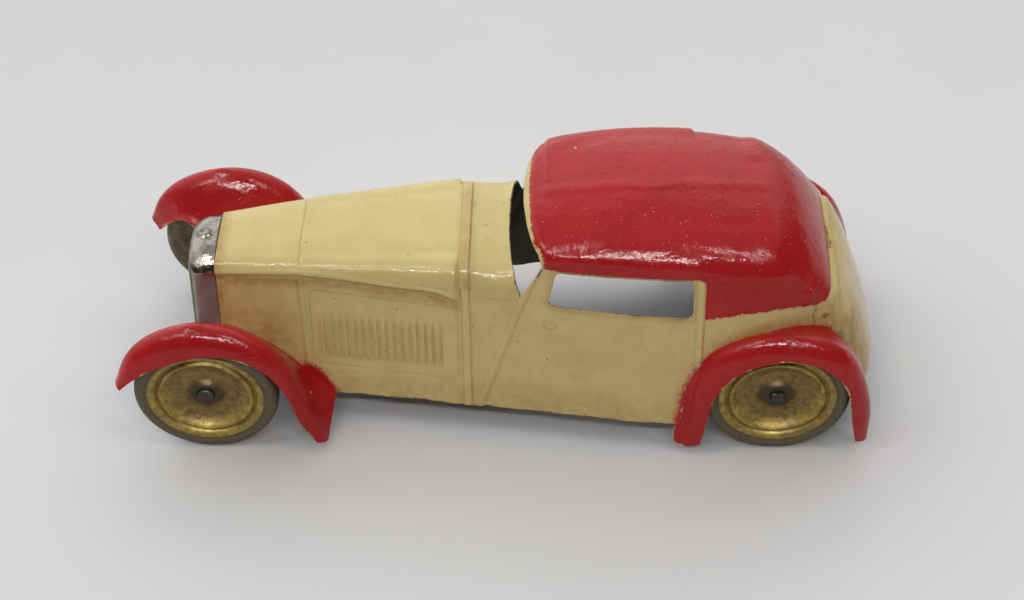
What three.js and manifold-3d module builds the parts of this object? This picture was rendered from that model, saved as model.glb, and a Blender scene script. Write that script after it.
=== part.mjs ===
// Friction-drive tin car: a one-piece pressed body with integral wings, a separate boot pressing,
// a plated radiator shell, four pressed tin wheels and a flywheel motor on the rear axle.
// Millimetres. +X is forward, +Y is the car's left side, +Z is up.
import * as THREE from 'three';
import { mergeVertices } from 'three/addons/utils/BufferGeometryUtils.js';
import { ParametricGeometry } from 'three/addons/geometries/ParametricGeometry.js';
import Module from 'manifold-3d';

const wasm = await Module();
wasm.setup();

// ---------- driving dimensions ----------
const wheelRadius = 12.5;
const wheelbase = 98.2;
const wheelFaceY = 22.2;
const wheelWidth = 4.8;
const tin = 0.5;
const gap = 0.3;
const noseX = 47.2;
const seamX = -57.8;
const sillZ = 6.5;
const axleRadius = 1.5;
const axleHoleRadius = 1.55;

const frontAxleX = wheelbase / 2;
const rearAxleX = -wheelbase / 2;
const axleZ = wheelRadius;
const wheelSegments = 28;
const deg = Math.PI / 180;

// the friction motor: spur gears of one module, on three spindles between two plates
const gearModule = 0.5;
const bigTeeth = 24;
const smallTeeth = 8;
const gearDistance = gearModule * (bigTeeth + smallTeeth) / 2;
const gearWidth = 1.6;
const drivePlaneY = 5.4;
const fastPlaneY = -5.4;
const plateY = 8.4;
const plateThickness = 0.6;
const spindleRadius = 0.8;
const spindleHoleRadius = 0.85;
const idlerAngle = 72 * deg;
const flywheelAngle = 115 * deg;
const flywheelRadius = 6.9;
const flywheelWidth = 6.4;

const idlerX = rearAxleX + gearDistance * Math.cos(idlerAngle);
const idlerZ = axleZ + gearDistance * Math.sin(idlerAngle);
const flywheelX = idlerX + gearDistance * Math.cos(flywheelAngle);
const flywheelZ = idlerZ + gearDistance * Math.sin(flywheelAngle);

// ---------- finishes ----------
function finish(color, roughness, metalness) {
  return new THREE.MeshStandardMaterial({ color, roughness, metalness });
}

const creamPaint = finish(0xd6c184, 0.35, 0);
const redPaint = finish(0xa3161c, 0.25, 0);
const nickel = finish(0xb9b4aa, 0.25, 1);
const darkTin = finish(0x5c564c, 0.5, 1);
const goldLacquer = finish(0x8f7a3a, 0.4, 0.8);
const steel = finish(0x6f6b65, 0.45, 1);
const brass = finish(0xa98a4a, 0.4, 1);
const lead = finish(0x57585a, 0.6, 0.8);

// ---------- solids and meshes ----------
function solid(geometry) {
  const bare = geometry.clone();
  bare.deleteAttribute('normal');
  bare.deleteAttribute('uv');
  const merged = mergeVertices(bare, 1e-4);
  const corners = merged.index.array;
  const kept = [];
  for (let i = 0; i < corners.length; i += 3) {
    const [a, b, c] = corners.slice(i, i + 3);
    if (a !== b && b !== c && c !== a) kept.push(a, b, c);
  }
  return new wasm.Manifold(new wasm.Mesh({
    numProp: 3,
    vertProperties: new Float32Array(merged.attributes.position.array),
    triVerts: new Uint32Array(kept),
  }));
}

function toGeometry(body) {
  const mesh = body.getMesh();
  const geometry = new THREE.BufferGeometry();
  geometry.setAttribute('position', new THREE.BufferAttribute(mesh.vertProperties, 3));
  geometry.setIndex(new THREE.BufferAttribute(mesh.triVerts, 1));
  geometry.computeVertexNormals();
  return geometry;
}

function piece(name, body, material) {
  const mesh = new THREE.Mesh(body.isBufferGeometry ? body : toGeometry(body), material);
  mesh.name = name;
  return mesh;
}

// A cylinder along Y from one side to the other.
function crossRod(radius, y0, y1, x, z, segments = 24) {
  const rod = new THREE.CylinderGeometry(radius, radius, Math.abs(y1 - y0), segments);
  rod.translate(x, (y0 + y1) / 2, z);
  return rod;
}

// A shape drawn in the X-Z plane and given a thickness along Y.
function sideCut(shape, y0, y1) {
  const block = new THREE.ExtrudeGeometry(shape, { depth: y1 - y0, bevelEnabled: false, curveSegments: 6 });
  block.rotateX(Math.PI / 2);
  block.translate(0, y1, 0);
  return block;
}

// Smooth value at x through hand-set stations, in order of falling x.
function through(table, x, column) {
  let i = 0;
  while (i < table.length - 2 && x < table[i + 1][0]) i += 1;
  const at = (k) => table[Math.max(0, Math.min(table.length - 1, k))];
  const slope = (k) => (at(k + 1)[column] - at(k - 1)[column]) / (at(k + 1)[0] - at(k - 1)[0]);
  const [x0, x1] = [at(i)[0], at(i + 1)[0]];
  const [y0, y1] = [at(i)[column], at(i + 1)[column]];
  const span = x1 - x0;
  const t = THREE.MathUtils.clamp((x - x0) / span, 0, 1);
  const rise = t * t * (3 - 2 * t);
  const tangents = slope(i) * t * (1 - t) * (1 - t) - slope(i + 1) * t * t * (1 - t);
  return y0 + (y1 - y0) * rise + tangents * span;
}

// A pressed sheet: a surface given its thickness, closed along all four edges.
function sheet(surface, uValues, vValues, thickness) {
  const step = 1e-3;
  const normalAt = (u, v) => {
    const here = surface(u, v);
    const du = surface(Math.min(1, u + step), v).sub(surface(Math.max(0, u - step), v));
    const dv = surface(u, Math.min(1, v + step)).sub(surface(u, Math.max(0, v - step)));
    return { here, normal: du.cross(dv).normalize() };
  };
  const rows = [uValues[0], ...uValues, uValues[uValues.length - 1]];
  const columns = [...vValues, ...vValues.slice().reverse(), vValues[0]];
  const lastRow = rows.length - 1;
  const lastColumn = columns.length - 1;
  const place = (a, b, target) => {
    const row = Math.round(a * lastRow);
    const column = Math.round(b * lastColumn);
    const { here, normal } = normalAt(rows[row], columns[column]);
    const side = column % lastColumn < vValues.length ? 1 : -1;
    const open = row === 0 || row === lastRow ? 0 : side;
    target.copy(here).addScaledVector(normal, open * thickness / 2);
  };
  return new ParametricGeometry(place, lastRow, lastColumn);
}

function outwardSolid(geometry) {
  const first = solid(geometry);
  if (first.volume() > 0) return first;
  const flipped = geometry.clone();
  flipped.index.array.reverse();
  return solid(flipped);
}

const evenly = (count) => Array.from({ length: count + 1 }, (_, i) => i / count);
const mirrored = (body) => body.mirror([0, 1, 0]);

// ---------- body pressing ----------
// x, crown height, gutter half-width, gutter height, sill half-width, bow of the front edge, squareness
const bodyStations = [
  [47.2, 30.9, 7.2, 27.3, 11.9, 0, 3.2],
  [32.6, 32.4, 9.1, 28.6, 13.8, 0, 3.2],
  [18.6, 33.5, 10.6, 29.3, 15.5, 0, 3.2],
  [5.0, 34.4, 12.0, 29.7, 17.2, 0.2, 3.2],
  [-3.5, 34.7, 13.1, 29.8, 18.2, 1.3, 3.0],
  [-6.3, 41.2, 14.1, 37.0, 18.6, 2.3, 2.7],
  [-8.8, 42.3, 14.8, 37.5, 19.0, 1.3, 2.6],
  [-13.4, 43.1, 15.5, 37.9, 19.6, 0.2, 2.5],
  [-20.4, 43.9, 16.3, 38.0, 20.7, 0, 2.5],
  [-28.5, 44.2, 17.0, 37.7, 21.6, 0, 2.4],
  [-36.6, 43.7, 17.4, 36.8, 21.9, 0, 2.4],
  [-43.9, 42.8, 17.3, 35.2, 22.0, 0, 2.4],
  [-47.5, 42.3, 16.8, 34.1, 22.0, 0, 2.4],
  [-50.9, 40.3, 15.8, 32.3, 21.7, 0, 2.3],
  [-53.7, 37.3, 15.1, 30.2, 20.9, 0, 2.3],
  [-56.2, 33.5, 14.4, 28.8, 19.9, 0, 2.3],
  [-57.8, 30.0, 13.9, 28.0, 19.2, 0, 2.4],
];
const roofShare = 0.62;
const beadX = 4.1;
const beadHalf = 0.9;
const beadRise = 0.35;

function bodyPoint(x, across) {
  const value = (column) => through(bodyStations, x, column);
  const [crown, gutterY, gutterZ, sillY, bow, square] = [1, 2, 3, 4, 5, 6].map(value);
  const side = Math.sign(across);
  const share = Math.abs(across) / roofShare;
  let y = gutterY;
  let z = gutterZ;
  if (share < 1) {
    const angle = share * Math.PI / 2;
    y = gutterY * Math.pow(Math.sin(angle), 2 / square);
    z = gutterZ + (crown - gutterZ) * Math.pow(Math.max(0, Math.cos(angle)), 2 / square);
  } else {
    const down = (Math.abs(across) - roofShare) / (1 - roofShare);
    y = gutterY + (sillY - gutterY) * down;
    z = gutterZ + (sillZ - gutterZ) * down;
  }
  const raised = 1 + beadRise * Math.max(0, 1 - Math.abs(x - beadX) / beadHalf) / 20;
  return new THREE.Vector3(x - bow * (y / gutterY) ** 2, side * y * raised, z * raised);
}

const bodyXs = [
  47.2, 40, 32.6, 25.6, 18.6, 11.6, 5.0, 4.1, 3.2, 0.2, -3.5, -4.9, -6.3, -8.8, -11, -13.4, -20.4,
  -28.5, -36.6, -43.9, -47.5, -50.9, -53.7, -56.2, -57.8,
];
const bodySpan = noseX - seamX;
const bodySurface = (u, v) => bodyPoint(noseX - u * bodySpan, 2 * v - 1);
const bodyVs = [
  0, 0.19, 0.23, 0.27, 0.32, 0.37, 0.43, 0.5, 0.57, 0.63, 0.68, 0.73, 0.77, 0.81, 1,
];
const bodySheet = outwardSolid(sheet(bodySurface, bodyXs.map((x) => (noseX - x) / bodySpan), bodyVs, tin));

// Wings: each rail is a smooth curve, and the sheet runs from lip over crown to root.
function curveThrough(points) {
  const corners = points.map((point) => new THREE.Vector3(...point));
  return new THREE.CatmullRomCurve3(corners, false, 'centripetal');
}

const crownShare = 0.36;

function wingSurface(lip, crown, root) {
  const rails = [lip, crown, root].map((rail) => curveThrough(rail));
  return (u, v) => {
    const [l, c, r] = rails.map((rail) => rail.getPoint(u));
    if (v < crownShare) {
      const turn = (v / crownShare) * Math.PI / 2;
      const outward = Math.cos(turn);
      const upward = Math.sin(turn);
      return new THREE.Vector3(
        l.x + (c.x - l.x) * upward, c.y + (l.y - c.y) * outward, l.z + (c.z - l.z) * upward);
    }
    const t = (v - crownShare) / (1 - crownShare);
    const fall = t * t * (3 - 2 * t);
    return new THREE.Vector3(c.x + (r.x - c.x) * fall, c.y + (r.y - c.y) * t, c.z + (r.z - c.z) * fall);
  };
}

const frontLip = [
  [63.3, 22.7, 15.6], [60.6, 23.0, 18.4], [57.4, 23.0, 20.6], [52.2, 23.0, 22.9], [47.4, 23.0, 24.2],
  [43.0, 23.0, 23.5], [38.4, 23.0, 20.6], [35.0, 23.0, 14.9], [33.3, 23.0, 8.6], [30.6, 22.9, 2.8],
];
const frontCrown = [
  [64.0, 20.7, 16.3], [61.7, 20.1, 21.5], [58.2, 20.0, 25.1], [52.8, 20.0, 27.6], [47.6, 20.0, 28.1],
  [42.8, 20.0, 27.0], [38.3, 20.0, 24.0], [34.6, 20.0, 18.6], [32.1, 20.3, 11.1], [28.9, 21.5, 2.0],
];
const frontRoot = [
  [62.4, 18.1, 15.6], [59.9, 16.5, 18.5], [56.7, 14.5, 21.0], [52.9, 11.6, 20.0], [48.0, 9.9, 18.4],
  [43.4, 10.3, 17.1], [39.1, 11.3, 15.1], [35.3, 12.3, 12.7], [31.8, 13.4, 9.6], [27.7, 14.4, 6.6],
];
const rearLip = [
  [-36.2, 23.1, 2.7], [-37.1, 23.3, 8.3], [-38.1, 23.3, 14.2], [-41.3, 23.3, 19.6],
  [-45.4, 23.3, 22.4], [-50.0, 23.3, 23.5], [-55.3, 23.3, 22.3], [-58.9, 23.3, 19.2],
  [-61.0, 23.3, 14.8], [-62.1, 23.2, 8.3], [-63.1, 22.7, 3.2],
];
const rearCrown = [
  [-33.5, 22.6, 2.0], [-34.5, 21.9, 8.3], [-35.2, 21.3, 15.3], [-38.2, 20.9, 22.3],
  [-43.6, 20.7, 26.0], [-49.5, 20.6, 27.0], [-56.2, 20.5, 25.4], [-61.1, 20.4, 21.2],
  [-63.8, 20.4, 15.5], [-65.2, 20.6, 8.9], [-65.1, 21.3, 2.8],
];
const rearRoot = [
  [-31.6, 21.9, 2.3], [-32.3, 21.1, 8.9], [-33.6, 20.1, 14.6], [-37.1, 19.0, 20.9],
  [-42.7, 18.3, 25.0], [-49.5, 17.8, 26.4], [-56.5, 16.1, 24.6], [-61.1, 17.2, 20.6],
  [-63.7, 18.2, 15.1], [-64.5, 18.5, 8.7], [-64.8, 19.4, 3.2],
];

const wingVs = [0, 0.14, 0.26, 0.36, 0.48, 0.62, 0.8, 1];
const frontSurface = wingSurface(frontLip, frontCrown, frontRoot);
const rearSurface = wingSurface(rearLip, rearCrown, rearRoot);
const frontWing = outwardSolid(sheet(frontSurface, evenly(20), wingVs, tin));
const rearWing = outwardSolid(sheet(rearSurface, evenly(22), wingVs, tin));

// Wheel arch in the body side: the area inside the rear wing's root.
function archShape() {
  const shrink = 0.965;
  const centre = new THREE.Vector2(-49.5, 12);
  const edge = rearRoot.map(([x, , z]) => new THREE.Vector2(x, z).sub(centre).multiplyScalar(shrink));
  edge.forEach((point) => point.add(centre));
  const shape = new THREE.Shape();
  shape.moveTo(edge[0].x, 0);
  shape.splineThru(edge);
  shape.lineTo(-70, 0);
  return shape;
}

function windowShape() {
  const radius = 2;
  const [rear, front, low, high] = [-34.1, -9.9, 29.0, 36.6];
  const rake = 1.4;
  const shape = new THREE.Shape();
  shape.moveTo(rear + radius, low);
  shape.lineTo(front - radius, low + 0.5);
  shape.quadraticCurveTo(front, low + 0.5, front - rake * 0.3, low + 0.5 + radius);
  shape.lineTo(front - rake, high - 1);
  shape.quadraticCurveTo(front - rake - 0.2, high, front - rake - radius, high);
  shape.lineTo(rear + 1, high);
  shape.quadraticCurveTo(rear, high, rear, high - 1);
  shape.lineTo(rear, low + radius);
  shape.quadraticCurveTo(rear, low, rear + radius, low);
  return shape;
}

// The windscreen opening from the side: behind the scuttle's edge, ahead of the pillars, under the header.
function screenShape() {
  const shape = new THREE.Shape();
  shape.moveTo(-5.8, 28.3);
  shape.lineTo(-9.2, 36.8);
  shape.quadraticCurveTo(-8.3, 39.1, -6.3, 40.6);
  shape.lineTo(-1.5, 40.6);
  shape.lineTo(-3.1, 35.1);
  shape.quadraticCurveTo(-4.0, 31.4, -5.8, 28.3);
  return shape;
}

const wingFootZ = 1.6;
const limitHeight = 60;
const limitBox = new THREE.BoxGeometry(140, 60, limitHeight).translate(0, 0, wingFootZ + limitHeight / 2);
const bodyLimits = solid(limitBox);

function buildBody() {
  let body = bodySheet.subtract(solid(sideCut(archShape(), 10, 30)));
  body = body.subtract(solid(sideCut(archShape(), -30, -10)));
  body = body.add(frontWing).add(mirrored(frontWing)).add(rearWing).add(mirrored(rearWing));
  body = body.subtract(solid(sideCut(windowShape(), -30, 30)));
  body = body.subtract(solid(sideCut(screenShape(), -30, 30)));
  body = body.subtract(solid(crossRod(axleHoleRadius, -16, 16, frontAxleX, axleZ)));
  return body.intersect(bodyLimits);
}

// ---------- boot pressing ----------
// height, depth behind the seam at the centre, half-width at the seam
const bootStations = [
  [30.1, 0.3, 3.4], [29.2, 1.5, 11.0], [28.2, 2.4, 12.6], [26.5, 3.4, 13.6], [24.0, 4.6, 14.5],
  [18.0, 6.8, 15.9], [12.0, 8.5, 16.6], [9.0, 9.0, 16.6], [6.5, 9.0, 16.4],
];
const bootSeamX = seamX - gap;
const bootSquare = 2.6;
const bootTopZ = bootStations[0][0];

function bootSurface(u, v) {
  const z = bootTopZ + (sillZ - bootTopZ) * u;
  const depth = through(bootStations, z, 1);
  const width = through(bootStations, z, 2);
  const angle = Math.PI * (v - 0.5);
  const along = Math.sign(angle) * Math.pow(Math.abs(Math.sin(angle)), 2 / bootSquare);
  const back = Math.pow(Math.max(0, Math.cos(angle)), 2 / bootSquare);
  return new THREE.Vector3(bootSeamX - 0.4 - depth * back, along * width, z);
}

const bootUs = [0, 0.04, 0.08, 0.15, 0.26, 0.38, 0.51, 0.64, 0.77, 0.89, 1];
const boot = outwardSolid(sheet(bootSurface, bootUs, evenly(20), tin));

// ---------- radiator ----------
const radiatorCrown = 31.1;
const radiatorShoulderY = 7.2;
const radiatorShoulderZ = 27.1;
const radiatorFootY = 9.7;
const radiatorFootZ = 14.9;
const radiatorBackX = noseX + gap;
const radiatorFrontX = 52.0;
const rimWidth = 1.4;
const wrapShare = 0.6;

function radiatorOutline(across, inset) {
  const side = Math.sign(across);
  const share = Math.abs(across) / roofShare;
  let y = radiatorShoulderY;
  let z = radiatorShoulderZ;
  if (share < 1) {
    const angle = share * Math.PI / 2;
    y = (radiatorShoulderY - inset) * Math.pow(Math.sin(angle), 2 / 2.6);
    z += (radiatorCrown - radiatorShoulderZ - inset) * Math.pow(Math.max(0, Math.cos(angle)), 2 / 2.6);
  } else {
    const down = (Math.abs(across) - roofShare) / (1 - roofShare);
    y += (radiatorFootY - radiatorShoulderY) * down - inset;
    z += (radiatorFootZ - radiatorShoulderZ) * down;
  }
  return [side * y, z];
}

function radiatorSurface(u, v) {
  const onRim = Math.max(0, (u - wrapShare) / (1 - wrapShare));
  const along = Math.min(1, u / wrapShare);
  const [y, z] = radiatorOutline(2 * v - 1, 0.3 * along + rimWidth * onRim);
  return new THREE.Vector3(radiatorBackX + (radiatorFrontX - radiatorBackX) * along, y, z);
}

const radiator = outwardSolid(sheet(radiatorSurface, [0, 0.3, 0.56, 0.6, 0.64, 1], bodyVs, tin));

function buildGrille() {
  const inset = 1.0;
  const edge = bodyVs.map((v) => new THREE.Vector2(...radiatorOutline(2 * v - 1, inset)));
  const plate = new THREE.ExtrudeGeometry(new THREE.Shape(edge), { depth: 0.4, bevelEnabled: false });
  plate.rotateX(Math.PI / 2);
  plate.rotateZ(Math.PI / 2);
  plate.translate(radiatorFrontX - 1.2, 0, 0);
  let grille = solid(plate);
  const slots = 5;
  for (let i = 0; i < slots; i += 1) {
    const y = (i - (slots - 1) / 2) * 2.2;
    const slot = new THREE.BoxGeometry(2, 1.1, 10).translate(radiatorFrontX - 1, y, 21.5);
    grille = grille.subtract(solid(slot));
  }
  return grille;
}

// ---------- wheels ----------
// Profiles of the left front wheel as radius and depth behind the wheel's outer face.
const wheelBore = 1.6;
const discPlate = [
  [wheelBore, 0.9], [2.7, 0.9], [3.1, 1.7], [6.6, 1.5], [7.1, 0.5], [7.9, 0.5], [8.4, 1.1],
  [10.2, 0.2], [11.6, 0.1], [12.5, 1.2], [12.5, 2.2],
];
const discInside = [
  [12.0, 2.2], [12.0, 1.4], [11.4, 0.6], [10.4, 0.7], [8.4, 1.6], [6.8, 2.0], [2.9, 2.2],
  [wheelBore, 1.4],
];
const backPlate = [[12.5, 2.5], [12.5, 3.6], [11.6, wheelWidth], [5.0, wheelWidth], [wheelBore, 4.2]];
const backInside = [[wheelBore, 3.7], [5.2, 4.2], [11.4, 4.2], [12.0, 3.4], [12.0, 2.5]];

function wheelPlate(profile, x, side) {
  const closed = [...profile, profile[0]];
  const loop = closed.map(([r, depth]) => new THREE.Vector2(r, side * (wheelFaceY - depth)));
  const turned = new THREE.LatheGeometry(loop, wheelSegments, Math.PI / wheelSegments);
  turned.scale(1 / Math.cos(Math.PI / wheelSegments), 1, 1 / Math.cos(Math.PI / wheelSegments));
  turned.translate(x, 0, axleZ);
  return outwardSolid(turned);
}

// ---------- axles ----------
const axleEndY = wheelFaceY - 0.45;
const collarRadius = 2.1;

function buildFrontAxle() {
  let axle = solid(crossRod(axleRadius, -axleEndY, axleEndY, frontAxleX, axleZ));
  for (const side of [-1, 1]) {
    const y = side * (wheelFaceY - wheelWidth - 0.8);
    axle = axle.add(solid(crossRod(collarRadius, y - 0.4, y + 0.4, frontAxleX, axleZ)));
    const head = side * (wheelFaceY - 0.5);
    axle = axle.add(solid(crossRod(2.0, head - 0.1, head + 0.25, frontAxleX, axleZ)));
  }
  return axle;
}

function buildRearAxle() {
  let axle = solid(crossRod(axleRadius, -axleEndY, axleEndY, rearAxleX, axleZ));
  for (const side of [-1, 1]) {
    const square = new THREE.BoxGeometry(2.5, 0.5, 3.0);
    square.translate(rearAxleX, side * axleEndY, axleZ);
    axle = axle.add(solid(square));
  }
  return axle;
}

// ---------- friction motor ----------
function gear(teeth, boreRadius, x, z, planeY, toothAngle) {
  const pitch = gearModule * teeth / 2;
  const tip = pitch + 0.8 * gearModule;
  const root = pitch - 1.05 * gearModule;
  const half = Math.PI / (2 * teeth);
  const shape = new THREE.Shape();
  for (let i = 0; i < teeth; i += 1) {
    const centre = toothAngle + i * 2 * Math.PI / teeth;
    const corners = [[root, -1.15 * half], [tip, -0.42 * half], [tip, 0.42 * half], [root, 1.15 * half]];
    for (const [radius, swing] of corners) {
      const point = [x + radius * Math.cos(centre + swing), z + radius * Math.sin(centre + swing)];
      if (i === 0 && swing === corners[0][1]) shape.moveTo(...point);
      else shape.lineTo(...point);
    }
  }
  const blank = solid(sideCut(shape, planeY - gearWidth / 2, planeY + gearWidth / 2));
  return blank.subtract(solid(crossRod(boreRadius, planeY - 2, planeY + 2, x, z, 16)));
}

const smallPitchAngle = 2 * Math.PI / smallTeeth;

// Offsets from the rear axle's centre, forward and up.
const plateOutline = [
  [9.9, -4.5], [9.9, 19.5], [6.6, 26.7], [0.6, 26.7], [-4.3, 21.0], [-7.4, 12.5], [-7.6, -0.5],
  [-4.9, -5.0],
];
const pillarSpots = [[-6.3, 5.9], [7.9, 17.7], [7.5, -2.3]];
const hangerX = rearAxleX + 3.6;
const hangerZ = axleZ + 27.3;
const pillarRadius = 1.1;

function motorPlate(side) {
  const shape = new THREE.Shape(plateOutline.map(([x, z]) => new THREE.Vector2(rearAxleX + x, axleZ + z)));
  const y = side * plateY;
  let plate = solid(sideCut(shape, y - plateThickness / 2, y + plateThickness / 2));
  plate = plate.subtract(solid(crossRod(axleHoleRadius + 0.03, y - 1, y + 1, rearAxleX, axleZ)));
  plate = plate.subtract(solid(crossRod(spindleHoleRadius + 0.02, y - 1, y + 1, idlerX, idlerZ, 16)));
  return plate.subtract(solid(crossRod(spindleHoleRadius + 0.02, y - 1, y + 1, flywheelX, flywheelZ, 16)));
}

function spindle(x, z) {
  return crossRod(spindleRadius, -plateY - 0.9, plateY + 0.9, x, z, 16);
}

function buildFlywheel() {
  const half = flywheelWidth / 2;
  const rim = flywheelRadius - 0.4;
  const face = [
    [0.9, half], [2.6, half], [3.2, half - 1.2], [5.2, half - 1.2], [5.8, half], [rim, half],
    [flywheelRadius, half - 0.4],
  ];
  const otherFace = face.slice().reverse().map(([r, y]) => [r, -y]);
  const loop = [...face, ...otherFace, face[0]].map(([r, y]) => new THREE.Vector2(r, y));
  return outwardSolid(new THREE.LatheGeometry(loop, wheelSegments).translate(flywheelX, 0, flywheelZ));
}

// ---------- assembly ----------
const group = new THREE.Group();
group.add(piece('body_shell', buildBody(), creamPaint));
group.add(piece('tail_panel', boot, creamPaint));
group.add(piece('radiator_shell', radiator, nickel));
group.add(piece('radiator_grille', buildGrille(), darkTin));
group.add(piece('front_axle', buildFrontAxle(), steel));
group.add(piece('rear_axle', buildRearAxle(), steel));

const wheels = [['front_left', frontAxleX, 1], ['front_right', frontAxleX, -1], ['rear_left', rearAxleX, 1],
  ['rear_right', rearAxleX, -1]];
for (const [name, x, side] of wheels) {
  group.add(piece(`${name}_wheel_disc`, wheelPlate([...discPlate, ...discInside], x, side), goldLacquer));
  group.add(piece(`${name}_wheel_back`, wheelPlate([...backPlate, ...backInside], x, side), darkTin));
}

group.add(piece('motor_plate_left', motorPlate(1), darkTin));
group.add(piece('motor_plate_right', motorPlate(-1), darkTin));
const strap = new THREE.BoxGeometry(5.6, 2 * plateY + 1.4, 0.6).translate(hangerX, 0, hangerZ);
group.add(piece('motor_hanger', strap, darkTin));
pillarSpots.forEach(([x, z], i) => {
  const half = plateY - plateThickness / 2 - gap;
  const pillar = crossRod(pillarRadius, -half, half, rearAxleX + x, axleZ + z, 12);
  group.add(piece(`motor_pillar_${i + 1}`, pillar, steel));
});
group.add(piece('axle_gear', gear(bigTeeth, axleRadius + 0.1, rearAxleX, axleZ, drivePlaneY,
  idlerAngle), brass));
group.add(piece('idler_spindle', spindle(idlerX, idlerZ), steel));
group.add(piece('idler_pinion', gear(smallTeeth, spindleRadius + 0.1, idlerX, idlerZ, drivePlaneY,
  idlerAngle + Math.PI + smallPitchAngle / 2), brass));
group.add(piece('idler_gear', gear(bigTeeth, spindleRadius + 0.1, idlerX, idlerZ, fastPlaneY,
  flywheelAngle), brass));
group.add(piece('flywheel_spindle', spindle(flywheelX, flywheelZ), steel));
group.add(piece('flywheel_pinion', gear(smallTeeth, spindleRadius + 0.1, flywheelX, flywheelZ, fastPlaneY,
  flywheelAngle + Math.PI + smallPitchAngle / 2), brass));
group.add(piece('flywheel', buildFlywheel(), lead));

const box = new THREE.Box3().setFromObject(group);
group.position.x = -(box.min.x + box.max.x) / 2;

export default group;
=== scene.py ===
"""The looks of a pressed-tin friction car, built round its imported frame.

Shapes are worked out in millimetres, with x counted from the middle of the wheelbase, and are
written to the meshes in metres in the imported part's own frame.
"""
import math

import bpy
import numpy as np
from mathutils import Matrix, Vector, noise


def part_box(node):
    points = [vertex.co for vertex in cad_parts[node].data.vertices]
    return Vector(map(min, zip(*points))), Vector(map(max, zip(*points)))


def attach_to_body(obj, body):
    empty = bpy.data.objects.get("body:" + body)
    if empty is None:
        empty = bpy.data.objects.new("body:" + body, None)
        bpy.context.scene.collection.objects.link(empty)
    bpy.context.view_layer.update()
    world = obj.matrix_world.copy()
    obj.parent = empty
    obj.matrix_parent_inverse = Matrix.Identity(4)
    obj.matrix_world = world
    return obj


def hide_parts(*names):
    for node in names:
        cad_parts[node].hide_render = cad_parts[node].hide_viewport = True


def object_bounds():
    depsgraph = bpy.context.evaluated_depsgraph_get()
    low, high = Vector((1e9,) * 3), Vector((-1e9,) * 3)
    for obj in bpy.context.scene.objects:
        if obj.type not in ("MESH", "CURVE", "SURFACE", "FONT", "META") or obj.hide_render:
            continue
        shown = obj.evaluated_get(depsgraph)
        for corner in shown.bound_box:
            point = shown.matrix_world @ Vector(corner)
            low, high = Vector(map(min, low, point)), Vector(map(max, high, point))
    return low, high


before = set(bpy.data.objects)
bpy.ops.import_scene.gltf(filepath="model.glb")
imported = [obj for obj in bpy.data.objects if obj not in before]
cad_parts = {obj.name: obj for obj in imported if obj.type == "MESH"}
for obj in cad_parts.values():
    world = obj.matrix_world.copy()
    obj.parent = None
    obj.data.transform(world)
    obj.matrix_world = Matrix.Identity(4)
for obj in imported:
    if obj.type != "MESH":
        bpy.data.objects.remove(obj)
cad_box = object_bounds()
MM = 0.001


def middle(node):
    low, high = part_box(node)
    return [(a + b) / 2 / MM for a, b in zip(low, high)]


FRONT_AXLE = middle("front_axle")
REAR_AXLE = middle("rear_axle")
MID_X = (FRONT_AXLE[0] + REAR_AXLE[0]) / 2
HALF_BASE = (FRONT_AXLE[0] - REAR_AXLE[0]) / 2
WHEEL_R = FRONT_AXLE[2]
FACE_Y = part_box("front_left_wheel_disc")[1][1] / MM + 0.1
SILL_Z = 6.5
NOSE_X = 47.2
SEAM_X = -57.8
TIN, THIN_TIN = 0.35, 0.3
SKIN = 0.25


# ---------- number helpers ----------
def ease(value, low, high):
    """0 below low, 1 above high, smooth between."""
    t = np.clip((value - low) / (high - low), 0, 1)
    return t * t * (3 - 2 * t)


def bell(distance, reach):
    """1 on the line, 0 beyond its reach."""
    return np.clip(1 - (distance / reach) ** 2, 0, 1) ** 2


def between(value, low, high, soft):
    return ease(value, low - soft / 2, low + soft / 2) * (1 - ease(value, high - soft / 2, high + soft / 2))


def hermite(start, leave, end, arrive, t):
    """A curve between two places that leaves and arrives along the slopes given."""
    return (start + leave * t + (3 * (end - start) - 2 * leave - arrive) * t ** 2
            + (2 * (start - end) + leave + arrive) * t ** 3)


def through(table, x, column):
    """Smooth value at x through the given stations, in order of falling x."""
    xs, ys = table[:, 0], table[:, column]
    last = len(xs) - 1
    i = np.clip(np.searchsorted(-xs, -np.asarray(x), side="right") - 1, 0, last - 1)
    before, after = np.maximum(i - 1, 0), np.minimum(i + 2, last)
    slope_here = (ys[i + 1] - ys[before]) / (xs[i + 1] - xs[before])
    slope_next = (ys[after] - ys[i]) / (xs[after] - xs[i])
    span = xs[i + 1] - xs[i]
    t = np.clip((x - xs[i]) / span, 0, 1)
    return hermite(ys[i], slope_here * span, ys[i + 1], slope_next * span, t)


def rail_points(rail, u):
    """Points of a centripetal Catmull-Rom curve through the rail's corners."""
    p = np.array(rail, float)
    p = np.vstack([2 * p[0] - p[1], p, 2 * p[-1] - p[-2]])
    place = np.clip(u, 0, 1) * (len(rail) - 1)
    i = np.minimum(place.astype(int), len(rail) - 2)
    t = (place - i)[:, None]
    a, b, c, d = p[i], p[i + 1], p[i + 2], p[i + 3]
    ab, bc, cd = (np.sqrt(np.linalg.norm(q - r, axis=1))[:, None] for q, r in ((b, a), (c, b), (d, c)))
    tb = ((b - a) / ab - (c - a) / (ab + bc) + (c - b) / bc) * bc
    tc = ((c - b) / bc - (d - b) / (bc + cd) + (d - c) / cd) * bc
    return hermite(b, tb, c, tc, t)


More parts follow.
